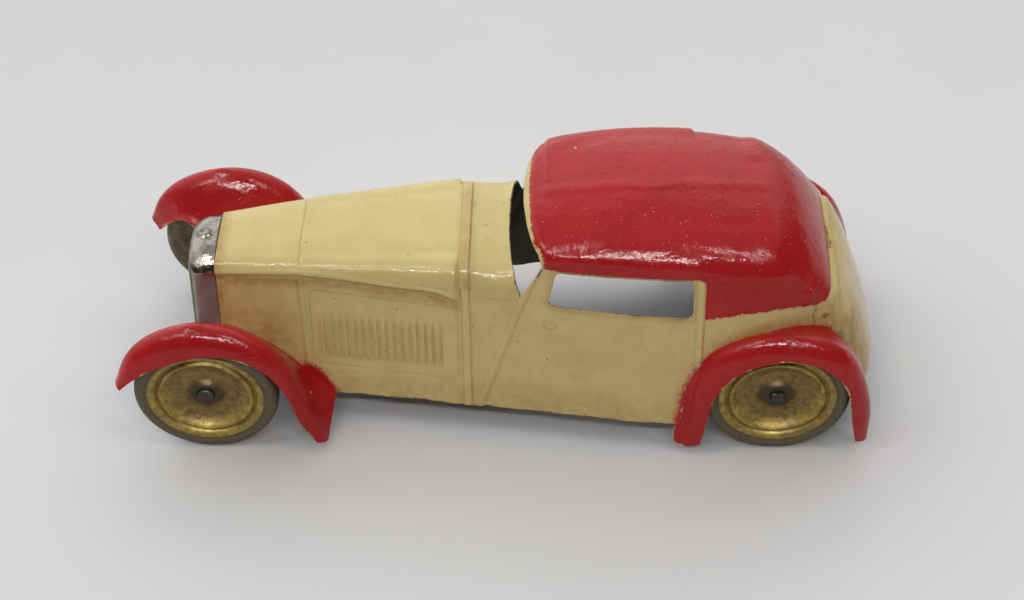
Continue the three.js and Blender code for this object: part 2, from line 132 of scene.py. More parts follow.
def outside(px, pz, outline):
    """Signed distance to a closed outline in the side view: positive outside it."""
    corners = np.array(outline, float)
    best = np.full(px.shape, 1e9)
    inside = np.zeros(px.shape, bool)
    for (ax, az), (bx, bz) in zip(corners, np.roll(corners, -1, axis=0)):
        ex, ez = bx - ax, bz - az
        t = np.clip(((px - ax) * ex + (pz - az) * ez) / (ex * ex + ez * ez + 1e-12), 0, 1)
        best = np.minimum(best, np.hypot(px - ax - t * ex, pz - az - t * ez))
        crosses = ((az > pz) != (bz > pz)) & (px < ex * (pz - az) / (ez if ez else 1e-12) + ax)
        inside ^= crosses
    return np.where(inside, -best, best)


def side_curve(rail, count):
    """Points along a rail's curve in the side view."""
    flat = [(x, 0, z) for x, _, z in rail]
    return [(x, z) for x, _, z in rail_points(flat, np.linspace(0, 1, count))]


def waves(points, size, seed):
    """Slow unevenness of hand-finished tin, between about -1 and 1."""
    shift = Vector((seed * 7.3, seed * 3.1, seed * 1.7))
    return np.array([noise.noise(Vector(p) / size + shift) for p in points])


def uneven(points, dents, ripples):
    """Shallow dents and finer ripples, each given as a size and a seed."""
    return 0.05 * waves(points, *dents) + 0.02 * waves(points, *ripples)


# ---------- meshes ----------
UP, FORWARD, BACKWARD = (0, 0, 1), (1, 0, 0), (-1, 0, 0)


def grid_faces(rows, columns):
    i, j = np.meshgrid(np.arange(rows - 1), np.arange(columns - 1), indexing="ij")
    a = (i * columns + j).ravel()
    return np.stack([a, a + columns, a + columns + 1, a + 1], axis=1)


def vertex_normals(points, faces):
    normals = np.zeros_like(points)
    for size in sorted({len(face) for face in faces}):
        group = np.array([face for face in faces if len(face) == size])
        corners = points[group]
        across = np.cross(corners[:, 2] - corners[:, 0], corners[:, -1] - corners[:, 1])
        for k in range(size):
            np.add.at(normals, group[:, k], across)
    return normals / (np.linalg.norm(normals, axis=1)[:, None] + 1e-12)


def grid_mesh(grid, way, column=None):
    """Points, faces and normals of a grid, turned so that its middle faces the way given."""
    rows, columns = grid.shape[:2]
    points, faces = grid.reshape(-1, 3), grid_faces(rows, columns)
    normals = vertex_normals(points, faces)
    probe = rows // 2 * columns + (columns // 2 if column is None else column)
    if normals[probe] @ np.array(way) < 0:
        return points, faces[:, ::-1], -normals
    return points, faces, normals


def clip(points, faces, keep, marks):
    """Cuts a quad mesh along keep = 0 and drops the negative side."""
    inside = keep >= 0
    count = inside[faces].sum(axis=1)
    result = [tuple(face) for face in faces[count == 4]]
    values = np.column_stack([points, *marks.values()])
    extra, made = [], {}

    def crossing(a, b):
        key = (min(a, b), max(a, b))
        if key not in made:
            made[key] = len(points) + len(extra)
            extra.append(values[a] + (values[b] - values[a]) * keep[a] / (keep[a] - keep[b]))
        return made[key]

    for face in faces[(count > 0) & (count < 4)]:
        corners = []
        for a, b in zip(face, np.roll(face, -1)):
            if inside[a]:
                corners.append(a)
            if inside[a] != inside[b]:
                corners.append(crossing(a, b))
        if len(corners) > 2:
            result.append(tuple(corners))
    values = np.vstack([values, *extra])
    used = np.unique([corner for face in result for corner in face])
    fresh = np.full(len(values), -1)
    fresh[used] = np.arange(len(used))
    values = values[used]
    return values[:, :3], [tuple(fresh[list(face)]) for face in result], dict(zip(marks, values[:, 3:].T))


def shell(points, faces, marks, thickness=TIN):
    """Gives a sheet its thickness inwards and closes its edges. Slots: 0 outside, 1 inside, 2 edge."""
    both = np.vstack([points, points - vertex_normals(points, faces) * thickness])
    count = len(points)
    faces = [tuple(face) for face in faces]
    edges = dict.fromkeys(edge for face in faces for edge in zip(face, face[1:] + face[:1]))
    inner = [tuple(k + count for k in reversed(face)) for face in faces]
    rim = [(b, a, a + count, b + count) for a, b in edges if (b, a) not in edges]
    slots = [0] * len(faces) + [1] * len(inner) + [2] * len(rim)
    return both, faces + inner + rim, {k: np.tile(v, 2) for k, v in marks.items()}, slots


SHARP_ANGLE = 40


def make_object(name, points, faces, materials, marks=None, slots=None):
    """A mesh object from places in millimetres. Marks are point attributes that the materials read."""
    mesh = bpy.data.meshes.new(name)
    placed = np.clip((points + np.array([MID_X, 0, 0])) * MM, *cad_box)
    mesh.from_pydata(placed.tolist(), [], [tuple(int(k) for k in face) for face in faces])
    for material in materials:
        mesh.materials.append(material)
    if slots is not None:
        mesh.polygons.foreach_set("material_index", np.array(slots, dtype=np.int32))
    for key, values in (marks or {}).items():
        layer = mesh.attributes.new(key, "FLOAT", "POINT")
        layer.data.foreach_set("value", np.asarray(values, dtype=np.float32))
    mesh.polygons.foreach_set("use_smooth", np.ones(len(mesh.polygons), dtype=bool))
    mesh.set_sharp_from_angle(angle=math.radians(SHARP_ANGLE))
    mesh.validate()
    mesh.update()
    thing = bpy.data.objects.new(name, mesh)
    bpy.context.scene.collection.objects.link(thing)
    return thing


def make_sheet(name, points, faces, marks, materials, thickness=TIN):
    """An object made of sheet. Its materials are for the outside, the inside and the edge."""
    both, all_faces, marks, slots = shell(points, faces, marks, thickness)
    return make_object(name, both, all_faces, materials, marks, slots)


def lathe(profile, segments, centre, side):
    """Turns (radius, depth behind the outer face) about the axle. Also gives each point's radius."""
    ring = np.array(profile, float)
    turn = np.linspace(0, 2 * math.pi, segments, endpoint=False)
    x = centre[0] - MID_X + np.outer(np.cos(turn), ring[:, 0])
    z = centre[2] + np.outer(np.sin(turn), ring[:, 0])
    y = np.tile(side * (FACE_Y - ring[:, 1]), (segments, 1))
    points = np.stack([x, y, z], axis=2).reshape(-1, 3)
    count = len(ring)
    i, j = np.meshgrid(np.arange(segments), np.arange(count - 1), indexing="ij")
    a, b = (i * count + j).ravel(), ((i + 1) % segments * count + j).ravel()
    faces = np.stack([a, a + 1, b + 1, b], axis=1)
    return points, faces if side > 0 else faces[:, ::-1], np.tile(ring[:, 0], segments)


def rounded(width, height, turn, square):
    """A squared-off round: how far across and how far up it is at each turn."""
    s, c = np.sin(turn), np.clip(np.cos(turn), 0, 1)
    scale = (np.abs(s) ** square + c ** square) ** (-1 / square)
    return width * s * scale, height * c * scale


def smooth_profile(corners, rounds=2):
    """Rounds a profile's corners by cutting them again and again."""
    p = np.array(corners, float)
    for _ in range(rounds):
        near, far = p[:-1] * 0.75 + p[1:] * 0.25, p[:-1] * 0.25 + p[1:] * 0.75
        p = np.vstack([p[:1], np.stack([near, far], axis=1).reshape(-1, 2), p[-1:]])
    return p


# ---------- body pressing ----------
# stations along it: x, crown, gutter half-width, gutter height, sill half-width, bow, squareness
BODY = np.array([
    (47.2, 30.9, 7.2, 27.3, 11.9, 0, 3.2),
    (32.6, 32.4, 9.1, 28.6, 13.8, 0, 3.2),
    (18.6, 33.5, 10.6, 29.3, 15.5, 0, 3.2),
    (5.0, 34.4, 12.0, 29.7, 17.2, 0.2, 3.2),
    (-3.5, 34.7, 13.1, 29.8, 18.2, 1.3, 3.0),
    (-6.3, 41.2, 14.1, 37.0, 18.6, 2.3, 2.7),
    (-8.8, 42.3, 14.8, 37.5, 19.0, 1.3, 2.6),
    (-13.4, 43.1, 15.5, 37.9, 19.6, 0.2, 2.5),
    (-20.4, 43.9, 16.3, 38.0, 20.7, 0, 2.5),
    (-28.5, 44.2, 17.0, 37.7, 21.6, 0, 2.4),
    (-36.6, 43.7, 17.4, 36.8, 21.9, 0, 2.4),
    (-43.9, 42.8, 17.3, 35.2, 22.0, 0, 2.4),
    (-47.5, 42.3, 16.8, 34.1, 22.0, 0, 2.4),
    (-50.9, 40.3, 15.8, 32.3, 21.7, 0, 2.3),
    (-53.7, 37.3, 15.1, 30.2, 20.9, 0, 2.3),
    (-56.2, 33.5, 14.4, 28.8, 19.9, 0, 2.3),
    (-57.8, 30.0, 13.9, 28.0, 19.2, 0, 2.4),
])

# wings: lip over the wheel, crown, and root on the body side, from the front end backwards
FRONT_LIP = [(63.3, 22.7, 15.6), (60.6, 23.0, 18.4), (57.4, 23.0, 20.6), (52.2, 23.0, 22.9),
             (47.4, 23.0, 24.2), (43.0, 23.0, 23.5), (38.4, 23.0, 20.6), (35.0, 23.0, 14.9),
             (33.3, 23.0, 8.6), (30.6, 22.9, 2.8)]
FRONT_CROWN = [(64.0, 20.7, 16.3), (61.7, 20.1, 21.5), (58.2, 20.0, 25.1), (52.8, 20.0, 27.6),
               (47.6, 20.0, 28.1), (42.8, 20.0, 27.0), (38.3, 20.0, 24.0), (34.6, 20.0, 18.6),
               (32.1, 20.3, 11.1), (28.9, 21.5, 2.0)]
FRONT_ROOT = [(62.4, 18.1, 15.6), (59.9, 16.5, 18.5), (56.7, 14.5, 21.0), (52.9, 11.6, 20.0),
              (48.0, 9.9, 18.4), (43.4, 10.3, 17.1), (39.1, 11.3, 15.1), (35.3, 12.3, 12.7),
              (31.8, 13.4, 9.6), (27.7, 14.4, 6.6)]
REAR_LIP = [(-36.2, 23.1, 2.7), (-37.1, 23.3, 8.3), (-38.1, 23.3, 14.2), (-41.3, 23.3, 19.6),
            (-45.4, 23.3, 22.4), (-50.0, 23.3, 23.5), (-55.3, 23.3, 22.3), (-58.9, 23.3, 19.2),
            (-61.0, 23.3, 14.8), (-62.1, 23.2, 8.3), (-63.1, 22.7, 3.2)]
REAR_CROWN = [(-33.5, 22.6, 2.0), (-34.5, 21.9, 8.3), (-35.2, 21.3, 15.3), (-38.2, 20.9, 22.3),
              (-43.6, 20.7, 26.0), (-49.5, 20.6, 27.0), (-56.2, 20.5, 25.4), (-61.1, 20.4, 21.2),
              (-63.8, 20.4, 15.5), (-65.2, 20.6, 8.9), (-65.1, 21.3, 2.8)]
REAR_ROOT = [(-31.6, 21.9, 2.3), (-32.3, 21.1, 8.9), (-33.6, 20.1, 14.6), (-37.1, 19.0, 20.9),
             (-42.7, 18.3, 24.2), (-49.5, 17.8, 25.5), (-56.5, 16.3, 23.7), (-61.1, 17.2, 20.6),
             (-63.7, 18.2, 15.1), (-64.5, 18.5, 8.7), (-64.8, 19.4, 3.2)]

ARCH_CENTRE = (-49.5, 12.0)
ARCH_SHRINK = 0.965
WINDOW = [(-34.1, 31.0), (-34.1, 29.8), (-33.3, 29.1), (-32.1, 29.0), (-11.9, 29.5), (-10.6, 29.7),
          (-10.0, 30.4), (-10.3, 31.5), (-11.2, 35.6), (-11.6, 36.4), (-12.4, 36.6), (-33.1, 36.6),
          (-33.9, 36.4), (-34.1, 35.6)]
SCREEN = [(-5.4, 28.9), (-9.2, 36.8), (-8.5, 38.9), (-6.3, 40.6), (-1.0, 40.8), (-2.9, 35.5),
          (-4.3, 33.0), (-4.8, 30.8)]


def arch_outline():
    """The opening in the body side over the rear wheel."""
    cx, cz = ARCH_CENTRE
    upper = [(cx + (x - cx) * ARCH_SHRINK, cz + (z - cz) * ARCH_SHRINK) for x, z in side_curve(REAR_ROOT, 60)]
    return [(upper[0][0], -1)] + upper + [(-75, upper[-1][1]), (-75, -1)]


def side_y(x, z):
    """Half-width of the plain body side at a place in the side view."""
    crown, gutter_y, gutter_z, sill_y, _, square = (through(BODY, x, k) for k in range(1, 7))
    straight = gutter_y + (sill_y - gutter_y) * (gutter_z - z) / (gutter_z - SILL_Z)
    above = np.clip((z - gutter_z) / (crown - gutter_z), 0, 1)
    curved = gutter_y * np.clip(1 - above ** square, 0, 1) ** (1 / square)
    return np.where(z > gutter_z, curved, straight)


def panel_distance(x, z):
    """Signed distance to the bonnet side's rounded panel: negative inside."""
    bottom, top = 11.4 + 0.035 * (x - 5), 25.6 + 0.055 * (x - 5)
    corner = 1.6
    across = np.abs(x - 18.4) - (12.8 - corner)
    upward = np.abs(z - (bottom + top) / 2) - ((top - bottom) / 2 - corner)
    beyond = np.hypot(np.maximum(across, 0), np.maximum(upward, 0))
    return beyond + np.minimum(np.maximum(across, upward), 0) - corner


BONNET_X = 32.5
QUARTER_X = -36.1
ROOF_EDGE_Z = 36.95
COWL_X = (3.35, 4.75, 5.0)
DOOR_SLANT = 0.353
WINDOW_X = (-35.0, -9.5)
HANDLE = (-10.2, 25.6)

LOUVRES = 16
LOUVRE_PITCH = 1.36
LOUVRE_WIDTH = 1.05
LOUVRE_FIRST_X = 29.9


def louvres(x, z):
    """Height of the slats, and how dark the slits behind them are: dirt and painted shade."""
    height, slit = np.zeros_like(x), np.zeros_like(x)
    top, bottom = 23.0 + 0.025 * (x - 9), 13.6 + 0.02 * (x - 9)
    ends = np.clip(np.minimum((top - z) / 2.4, (z - bottom) / 1.2), 0, 1) ** 0.8
    for k in range(LOUVRES):
        behind = (LOUVRE_FIRST_X - LOUVRE_PITCH * k - x) / LOUVRE_WIDTH
        slope = np.clip(behind / 0.7, 0, 1) ** 0.8 * (1 - ease(behind, 0.68, 1.0))
        height = np.maximum(height, slope * ends)
        slit = np.maximum(slit, bell(behind - 1.06, 0.2) * ends)
    return height, slit


def shoulder_edge(x):
    """Height of the moulding along the shoulder."""
    return np.interp(x, [-4, 4, 5.5, 9.6, 18, 25.4, BONNET_X, 40, 47],
                     [28.0, 28.2, 27.7, 29.0, 29.6, 30.0, 30.0, 29.2, 28.4])


def red_floor(x):
    """Lower edge of the red on the rear quarter."""
    return np.interp(x, [-57.9, -57.3, -56.4, -55, -52.3, -48.2, -43.5, -39.1, QUARTER_X],
                     [31.0, 30.2, 29.3, 28.8, 29.3, 30.1, 29.9, 29.3, 28.7])


def body_relief(x, y, z):
    """Raised and sunk work on the body pressing, the dark lines of dirt and painted shade in its grooves and
    along its beads, and the brown staining and painted shade on it.
    """
    across = np.abs(y)
    gutter_y = through(BODY, x, 2)
    on_side = ease(across / gutter_y, 0.93, 1.0)
    on_top = ease(z, 30.6, 31.6)
    h = np.zeros_like(x)
    # the dark lines in grooves and along beads: partly dirt, partly painted shade
    dirt = np.zeros_like(x)

    # bonnet joint: a groove over the top, a bead down the side
    groove = bell(x - BONNET_X - 0.08 * np.sin(y * 0.5) - 0.05 * np.sin(y * 1.7 + 1), 0.22) * on_top
    h -= 0.10 * groove
    dirt += 0.65 * groove
    from_bead, bead_ends = x - 32.0 - 0.035 * (z - 12), between(z, 11.8, 29.0, 1.0)
    h += 0.3 * bell(from_bead, 0.55) * bead_ends
    dirt += 0.25 * bell(np.abs(from_bead) - 0.55, 0.25) * bead_ends

    # shoulder moulding, taller towards the cowl
    edge = shoulder_edge(x)
    swell = np.interp(x, [-4, 3, 3.4, 4.9, 5.6, 10, 20, 31.8, 32.8, 47],
                      [0.25, 0.3, 0, 0, 1.0, 0.85, 0.65, 0.5, 0.34, 0.22])
    swell = swell * ease(x, -4.5, -3.0)
    raised = ease(z, edge - 0.22, edge + 0.22) * ease(across / gutter_y, 0.62, 0.97)
    ridge = bell(z - edge - 0.5, 0.7) * on_side * ease(x, 5.4, 6.2)
    h += swell * raised + 0.26 * ridge
    # the dark line under the moulding is a painted shadow
    shadow = bell(z - edge + 0.3, 0.35) * on_side * ease(x, 5.4, 5.9) * ease(-x, -47.5, -33)
    h -= 0.1 * shadow
    dirt += 0.2 * shadow * between(x, 5.6, 32.4, 0.4)

    # side panel with its louvres
    panel = panel_distance(x, z)
    line = bell(panel, 0.3) * on_side
    h -= 0.2 * line + 0.12 * ease(-panel, -0.1, 0.4) * on_side
    dirt += 0.22 * line
    slats, slits = louvres(x, z)
    h += 0.6 * slats * on_side
    # the slits behind the slats are darkened with dirt and painted shade
    dirt += 0.45 * slits * on_side

    # cowl bead, right over the car
    rear_edge, front_edge = COWL_X[0], np.where(z > 30, COWL_X[2], COWL_X[1])
    h += 0.4 * between(x, rear_edge, front_edge, 0.35)
    dirt += 0.28 * (bell(x - rear_edge, 0.28) + bell(x - front_edge, 0.28))

    # door moulding, sloping back up the windscreen pillar
    slant = (x - (-2.3 - DOOR_SLANT * (z - 19.1))) / math.hypot(1, DOOR_SLANT)
    below_roof = on_side * ease(-z, -37.8, -36.5)
    h += 0.38 * between(slant, -0.62, 0.62, 0.35) * below_roof
    dirt += 0.22 * bell(np.abs(slant) - 0.68, 0.26) * below_roof

    # rear door post, from the roof's edge to the wing
    h += 0.3 * between(x, -35.85, -34.75, 0.35) * on_side * between(z, 18.0, 37.0, 0.8)
    post_lines = bell(x + 34.6, 0.25) + 0.6 * bell(x + 36.0, 0.25)
    dirt += 0.25 * post_lines * on_side * between(z, 18.0, 36.0, 0.8)

    # door handle: a small oval ring
    oval = np.hypot((x - HANDLE[0]) / 1.05, (z - HANDLE[1]) / 0.68)
    h += 0.3 * bell(oval - 0.75, 0.38) * on_side
    dirt += 0.4 * bell(oval - 1.15, 0.2) * on_side

    # window's rolled border, and the roof's swollen edge above the windows
    frame_gap = outside(x, z, WINDOW)
    h += 0.16 * bell(frame_gap, 0.8) * on_side
    far = y < 0
    swollen = between(x, *WINDOW_X, 1.0) * ease(z, 36.6, 37.3)
    swollen = swollen * (1 - ease(z, np.where(far, 41.6, 38.9), np.where(far, 43.0, 41.0)))
    h += np.where(far, 0.55, 0.38) * swollen
    dirt += 0.35 * bell(z - ROOF_EDGE_Z, 0.2) * between(x, *WINDOW_X, 1.2)
    quarter_line = z - np.interp(x, [-50, -36], [36.2, 38.2])
    h += 0.14 * bell(quarter_line, 0.9) * between(x, -50.0, -35.5, 2.0)

    # creases along and across the roof
    past_crease = y - np.interp(x, [-46, -25], [0.9, 2.3])
    on_roof = between(x, -47.0, -9.0, 3.0) * ease(z, 38, 39)
    h += 0.12 * bell(past_crease, 1.8) * on_roof
    h -= 0.05 * np.clip(past_crease, 0, 8) * (1 - ease(past_crease, 8, 15)) * on_roof
    h += 0.32 * bell(x + 44.8 - 0.05 * y, 2.6) * between(y, -17.0, -6.0, 2.5) * ease(z, 36.5, 38)

    # folded tab and the joint line below it at the back corner
    h += 0.4 * between(x, -54.0, -52.4, 0.3) * between(z, 29.5, 32.3, 0.3)
    joint = bell(x + 54.5 + 0.1 * np.sin(z * 3), 0.22) * between(z, 24.0, 28.7, 0.4) * on_side
    h -= 0.22 * joint
    dirt += 1.1 * joint

    # brown staining round the cowl and window; painted shade under the shoulder, at the nose and low on the
    # bonnet side by the front wings; browner low at the back, towards the bottom of the sides and a little
    # over all the sides
    stain = 0.7 * bell(z - edge + 1.5, 1.7) * on_side * between(x, 4.9, 47.0, 1.5)
    stain += 0.8 * ease(x, 44.6, 47.2) + 0.8 * ease(x, 30, 40) * ease(-z, -26, -16)
    stain += 0.5 * bell(x - 4.0, 2.4) * ease(z, 29, 31) + 0.5 * bell(frame_gap, 1.6) * on_side
    stain += 0.6 * ease(-x, 49, 56) * (1 - ease(z, 27, 30))
    stain += 0.35 * ease(-z, -14, -8) * on_side + 0.2 * on_side
    return h, np.clip(dirt, 0, 1), np.clip(stain, 0, 1)


def scar(x, y, z):
    """The one large chip, low on the near back corner."""
    away = np.hypot((x + 56.5) * 0.8, z - 26.2) + 0.25 * np.sin(x * 5 + z * 7)
    return bell(away, 0.85) * (y > 0)


def body_samples():
    """Places along the car, closer together where the pressing has fine work."""
    stops = [(NOSE_X, 0.5), (33.2, 0.16), (31.4, 0.2), (8.0, 0.24), (5.6, 0.12), (2.8, 0.4), (-4.0, 0.22),
             (-12.0, 0.4), (-33.4, 0.18), (-36.6, 0.45), (-51.5, 0.28), (SEAM_X, 0)]
    xs = []
    for (start, step), (stop, _) in zip(stops, stops[1:]):
        xs += list(np.linspace(start, stop, int(round((start - stop) / step)), endpoint=False))
    return np.array(xs + [SEAM_X])


ROOF_STEPS = 64
SIDE_STEPS = 86
BODY_SMOOTHING = 5


def smoothed(grid, rounds):
    """Evens a grid out across its rows, whose ends stay put."""
    for _ in range(rounds):
        grid[:, 1:-1] = grid[:, 1:-1] * 0.5 + (grid[:, :-2] + grid[:, 2:]) * 0.25
    return grid


def body_grid():
    xs = body_samples()
    crown, gutter_y, gutter_z, sill_y, bow, square = (through(BODY, xs, k)[:, None] for k in range(1, 7))
    turn = np.linspace(0, math.pi / 2, ROOF_STEPS)[None, :]
    roof_y, roof_z = rounded(gutter_y, crown - gutter_z, turn, square)
    roof_z = gutter_z + roof_z
    down = np.linspace(0, 1, SIDE_STEPS)[None, 1:]
    wall_y = gutter_y + (sill_y - gutter_y) * down
    wall_z = gutter_z + (SILL_Z - gutter_z) * down
    half_y, half_z = np.hstack([roof_y, wall_y]), np.hstack([roof_z, wall_z])
    y = smoothed(np.hstack([-half_y[:, :0:-1], half_y]), BODY_SMOOTHING)
    z = smoothed(np.hstack([half_z[:, :0:-1], half_z]), BODY_SMOOTHING)
    reach = np.where(z < gutter_z, ((z - SILL_Z) / (gutter_z - SILL_Z)) ** 1.5, (y / gutter_y) ** 2)
    return np.stack([xs[:, None] - bow * reach, y, z], axis=2)


def free_edges(x, y, z):
    """How far a place on the body is inside the metal, measured from its cut edges."""
    window = outside(x, z, WINDOW)
    screen = outside(x, z, SCREEN)
    arch = np.where(x < -25, outside(x, z, arch_outline()), 99.0)
    dings = 0.10 * np.sin(x * 0.61 + 0.4) + 0.07 * np.sin(x * 1.7) + 0.05 * np.sin(x * 4.1 + y)
    sill = z - SILL_Z - 0.15 - dings
    return np.minimum(np.minimum(window, screen), np.minimum(arch, sill))


RED_CORNER = 1.3


def red_amount(x, y, z):
    """Signed distance into the red on the body pressing, and how soft its boundary is."""
    header = -6.9 - 0.0068 * y * y - np.maximum(np.abs(y) - 12, 0) * 0.45
    above, behind = z - ROOF_EDGE_Z + RED_CORNER, QUARTER_X - x + RED_CORNER
    round_corner = np.hypot(np.maximum(above, 0), np.maximum(behind, 0)) - RED_CORNER
    roof = np.minimum(np.where(x < QUARTER_X, np.minimum(z - red_floor(x), 3.0), round_corner), header - x)
    rear = -outside(x, z, [(-31.0, 0), *side_curve(REAR_ROOT, 40), (-75, 3), (-75, 0)]) + 0.6
    front_line = np.interp(x, [26.9, 29.8, 32, 35.3, 39.1, 43.4, 48],
                           [7.0, 11.2, 12.4, 11.6, 12.4, 13.6, 14.5])
    front = np.minimum(front_line - z, (x - 26.9) * 0.8)
    spray = np.maximum(rear, front)
    return np.maximum(roof, spray), ease(spray - roof, -0.5, 0.5)


def build_body(materials):
    points, faces, normals = grid_mesh(body_grid(), UP)
    x, y, z = points.T
    height, dirt, stain = body_relief(x, y, z)
    height = height + uneven(points, (6.0, 1), (2.2, 2))
    keep = free_edges(x, y, z)
    red, soft = red_amount(x, y, z)
    moved = points + normals * (SKIN + height)[:, None]
    marks = {"red": red, "soft": soft, "dirt": dirt, "stain": stain}
    marks["edge"] = np.minimum(keep, 1.4 - 2.4 * scar(x, y, z))
    return make_sheet("body_pressing", *clip(moved, faces, keep, marks), materials)


# ---------- wings ----------
CROWN_SHARE = 0.36
FILLET_START = 0.62
WING_SMOOTHING = 14
WING_STEPS = 150
LIP_STEPS = 18
CREST_STEPS = 12
FILLET_STEPS = 16
LEAVE_PULL, ARRIVE_PULL = 0.6, 0.4
ROOT_SUNK = 0.06


def wing_patch(lip, crown, root, u, v):
    l, c, r = (rail_points(rail, u)[:, None, :] for rail in (lip, crown, root))
    v = v[None, :]
    turn = np.clip(v / CROWN_SHARE, 0, 1) * math.pi / 2
    outward, upward = np.cos(turn), np.sin(turn)
    valance = l + (c - l) * np.stack([upward, 1 - outward, upward], axis=2)
    t = np.clip((v - CROWN_SHARE) / (1 - CROWN_SHARE), 0, 1)
    fall = ease(t, 0, 1)
    apron = c + (r - c) * np.stack([fall, t, fall], axis=2)
    return np.where((v < CROWN_SHARE)[..., None], valance, apron)


def on_side_wall(x, z):
    """Points sunk a little under the plain body side."""
    return np.stack([x, side_y(x, z) - ROOT_SUNK, z], axis=1)


def wing_grid(lip, crown, root, hub_x, attach, reach):
    """The wing from lip over crown to root, with a fillet that runs out on the body side."""
    u = np.linspace(0, 1, WING_STEPS)
    crest = np.linspace(CROWN_SHARE, FILLET_START, CREST_STEPS)[1:]
    v = np.append(np.linspace(0, CROWN_SHARE, LIP_STEPS), crest)
    skin = wing_patch(lip, crown, root, u, v)
    plain = wing_patch(lip, crown, root, u, np.linspace(FILLET_START, 1, FILLET_STEPS)[1:])
    start = skin[:, -1]
    before = wing_patch(lip, crown, root, u, np.array([FILLET_START - 0.01]))[:, 0]
    edge = rail_points(root, u)
    away = edge[:, [0, 2]] - np.array([hub_x, WHEEL_R])
    away /= np.linalg.norm(away, axis=1)[:, None]
    end_x, end_z = (edge[:, [0, 2]] + away * reach).T
    end = on_side_wall(end_x, np.maximum(end_z, SILL_Z + 0.3))
    inner = on_side_wall(end[:, 0] - away[:, 0] * 0.5, end[:, 2] - away[:, 1] * 0.5)
    span = np.linalg.norm(end - start, axis=1)[:, None]
    leave, arrive = (
        way / (np.linalg.norm(way, axis=1)[:, None] + 1e-9) * span * pull
        for way, pull in ((start - before, LEAVE_PULL), (end - inner, ARRIVE_PULL)))
    t = np.linspace(0, 1, FILLET_STEPS)[1:][None, :, None]
    fillet = hermite(*(q[:, None, :] for q in (start, leave, end, arrive)), t)
    weight = attach(edge)[:, None, None]
    grid = np.concatenate([skin, plain * (1 - weight) + fillet * weight], axis=1)
    return smoothed(grid, WING_SMOOTHING), weight[:, 0, 0]


def front_attach(edge):
    return (1 - ease(edge[:, 0], 45.8, 48.2)) * ease(edge[:, 2], 6.7, 9.5)


def rear_attach(edge):
    return ease(edge[:, 2], 7.0, 9.5) * ease(edge[:, 0], -60.0, -55.5)


def build_wing(name, rails, hub_x, attach, side, materials, relief, reach):
    grid, held = wing_grid(*rails, hub_x, attach, reach)
    points, faces, normals = grid_mesh(grid, UP, LIP_STEPS)
    columns = grid.shape[1]
    row, column = np.divmod(np.arange(len(points)), columns)
    from_lip, from_root, from_front, from_back = (
        np.linalg.norm(grid - rim_line, axis=2).reshape(-1)
        for rim_line in (grid[:, :1], grid[:, -1:], grid[:1], grid[-1:]))
    edge = np.minimum(np.minimum(from_lip, np.minimum(from_front, from_back)), from_root + 9 * held[row])
    edge = edge - 0.9 * bell(np.hypot(points[:, 0] + 64.6, points[:, 2] - 4.2), 1.3)
    height, dirt = relief(*points.T)
    height = height + uneven(points, (5.0, 3 + side), (1.8, 5))
    fade = 1 - ease(column / (columns - 1), 0.85, 1.0) * held[row]
    moved = points + normals * (SKIN + height * fade)[:, None]
    spray = np.where(column > columns - 8, (columns - 1 - column) * 0.35 + 0.45, 3.0)
    red = np.where(held[row] > 0.5, spray, 3.0)
    marks = {"red": red, "soft": np.ones(len(points)), "dirt": dirt, "edge": edge}
    if side < 0:
        moved = moved * np.array([1, -1, 1])
        faces = faces[:, ::-1]
    return make_sheet(name, moved, faces, marks, materials)


def front_relief(x, y, z):
    """A small sidelight pressed on the crown."""
    lamp = np.hypot((x - 49.6) / 2.2, (y - 19.9) / 0.95)
    height = 0.36 * (1 - ease(lamp, 0.45, 1.1)) * (z > 24)
    # a dark ring round the lamp: dirt and painted shade
    return height, 0.15 * bell(lamp - 1.05, 0.25) * (z > 24)


def rear_relief(x, y, z):
    """A hairline fold over the top of the wing."""
    fold = bell(x + 50.3 + 0.25 * np.sin(y * 1.4), 0.3) * ease(z, 24, 25.5) * ease(y, 18.5, 19.5)
    # a dark line in the fold: dirt and painted shade
    return -0.12 * fold, 0.9 * fold


# ---------- boot ----------
# levels down the boot: height, depth behind the seam, half-width
BOOT = np.array([
    (30.15, 0.2, 3.0), (29.8, 0.7, 8.0), (29.2, 1.5, 11.4), (28.2, 2.4, 13.0), (26.5, 3.4, 13.9),
    (24.0, 4.6, 14.7), (18.0, 6.8, 16.0), (12.0, 8.5, 16.8), (9.0, 9.0, 16.8), (6.5, 9.0, 16.6),
])
BOOT_SQUARE = 2.6
BOOT_STEPS = 120


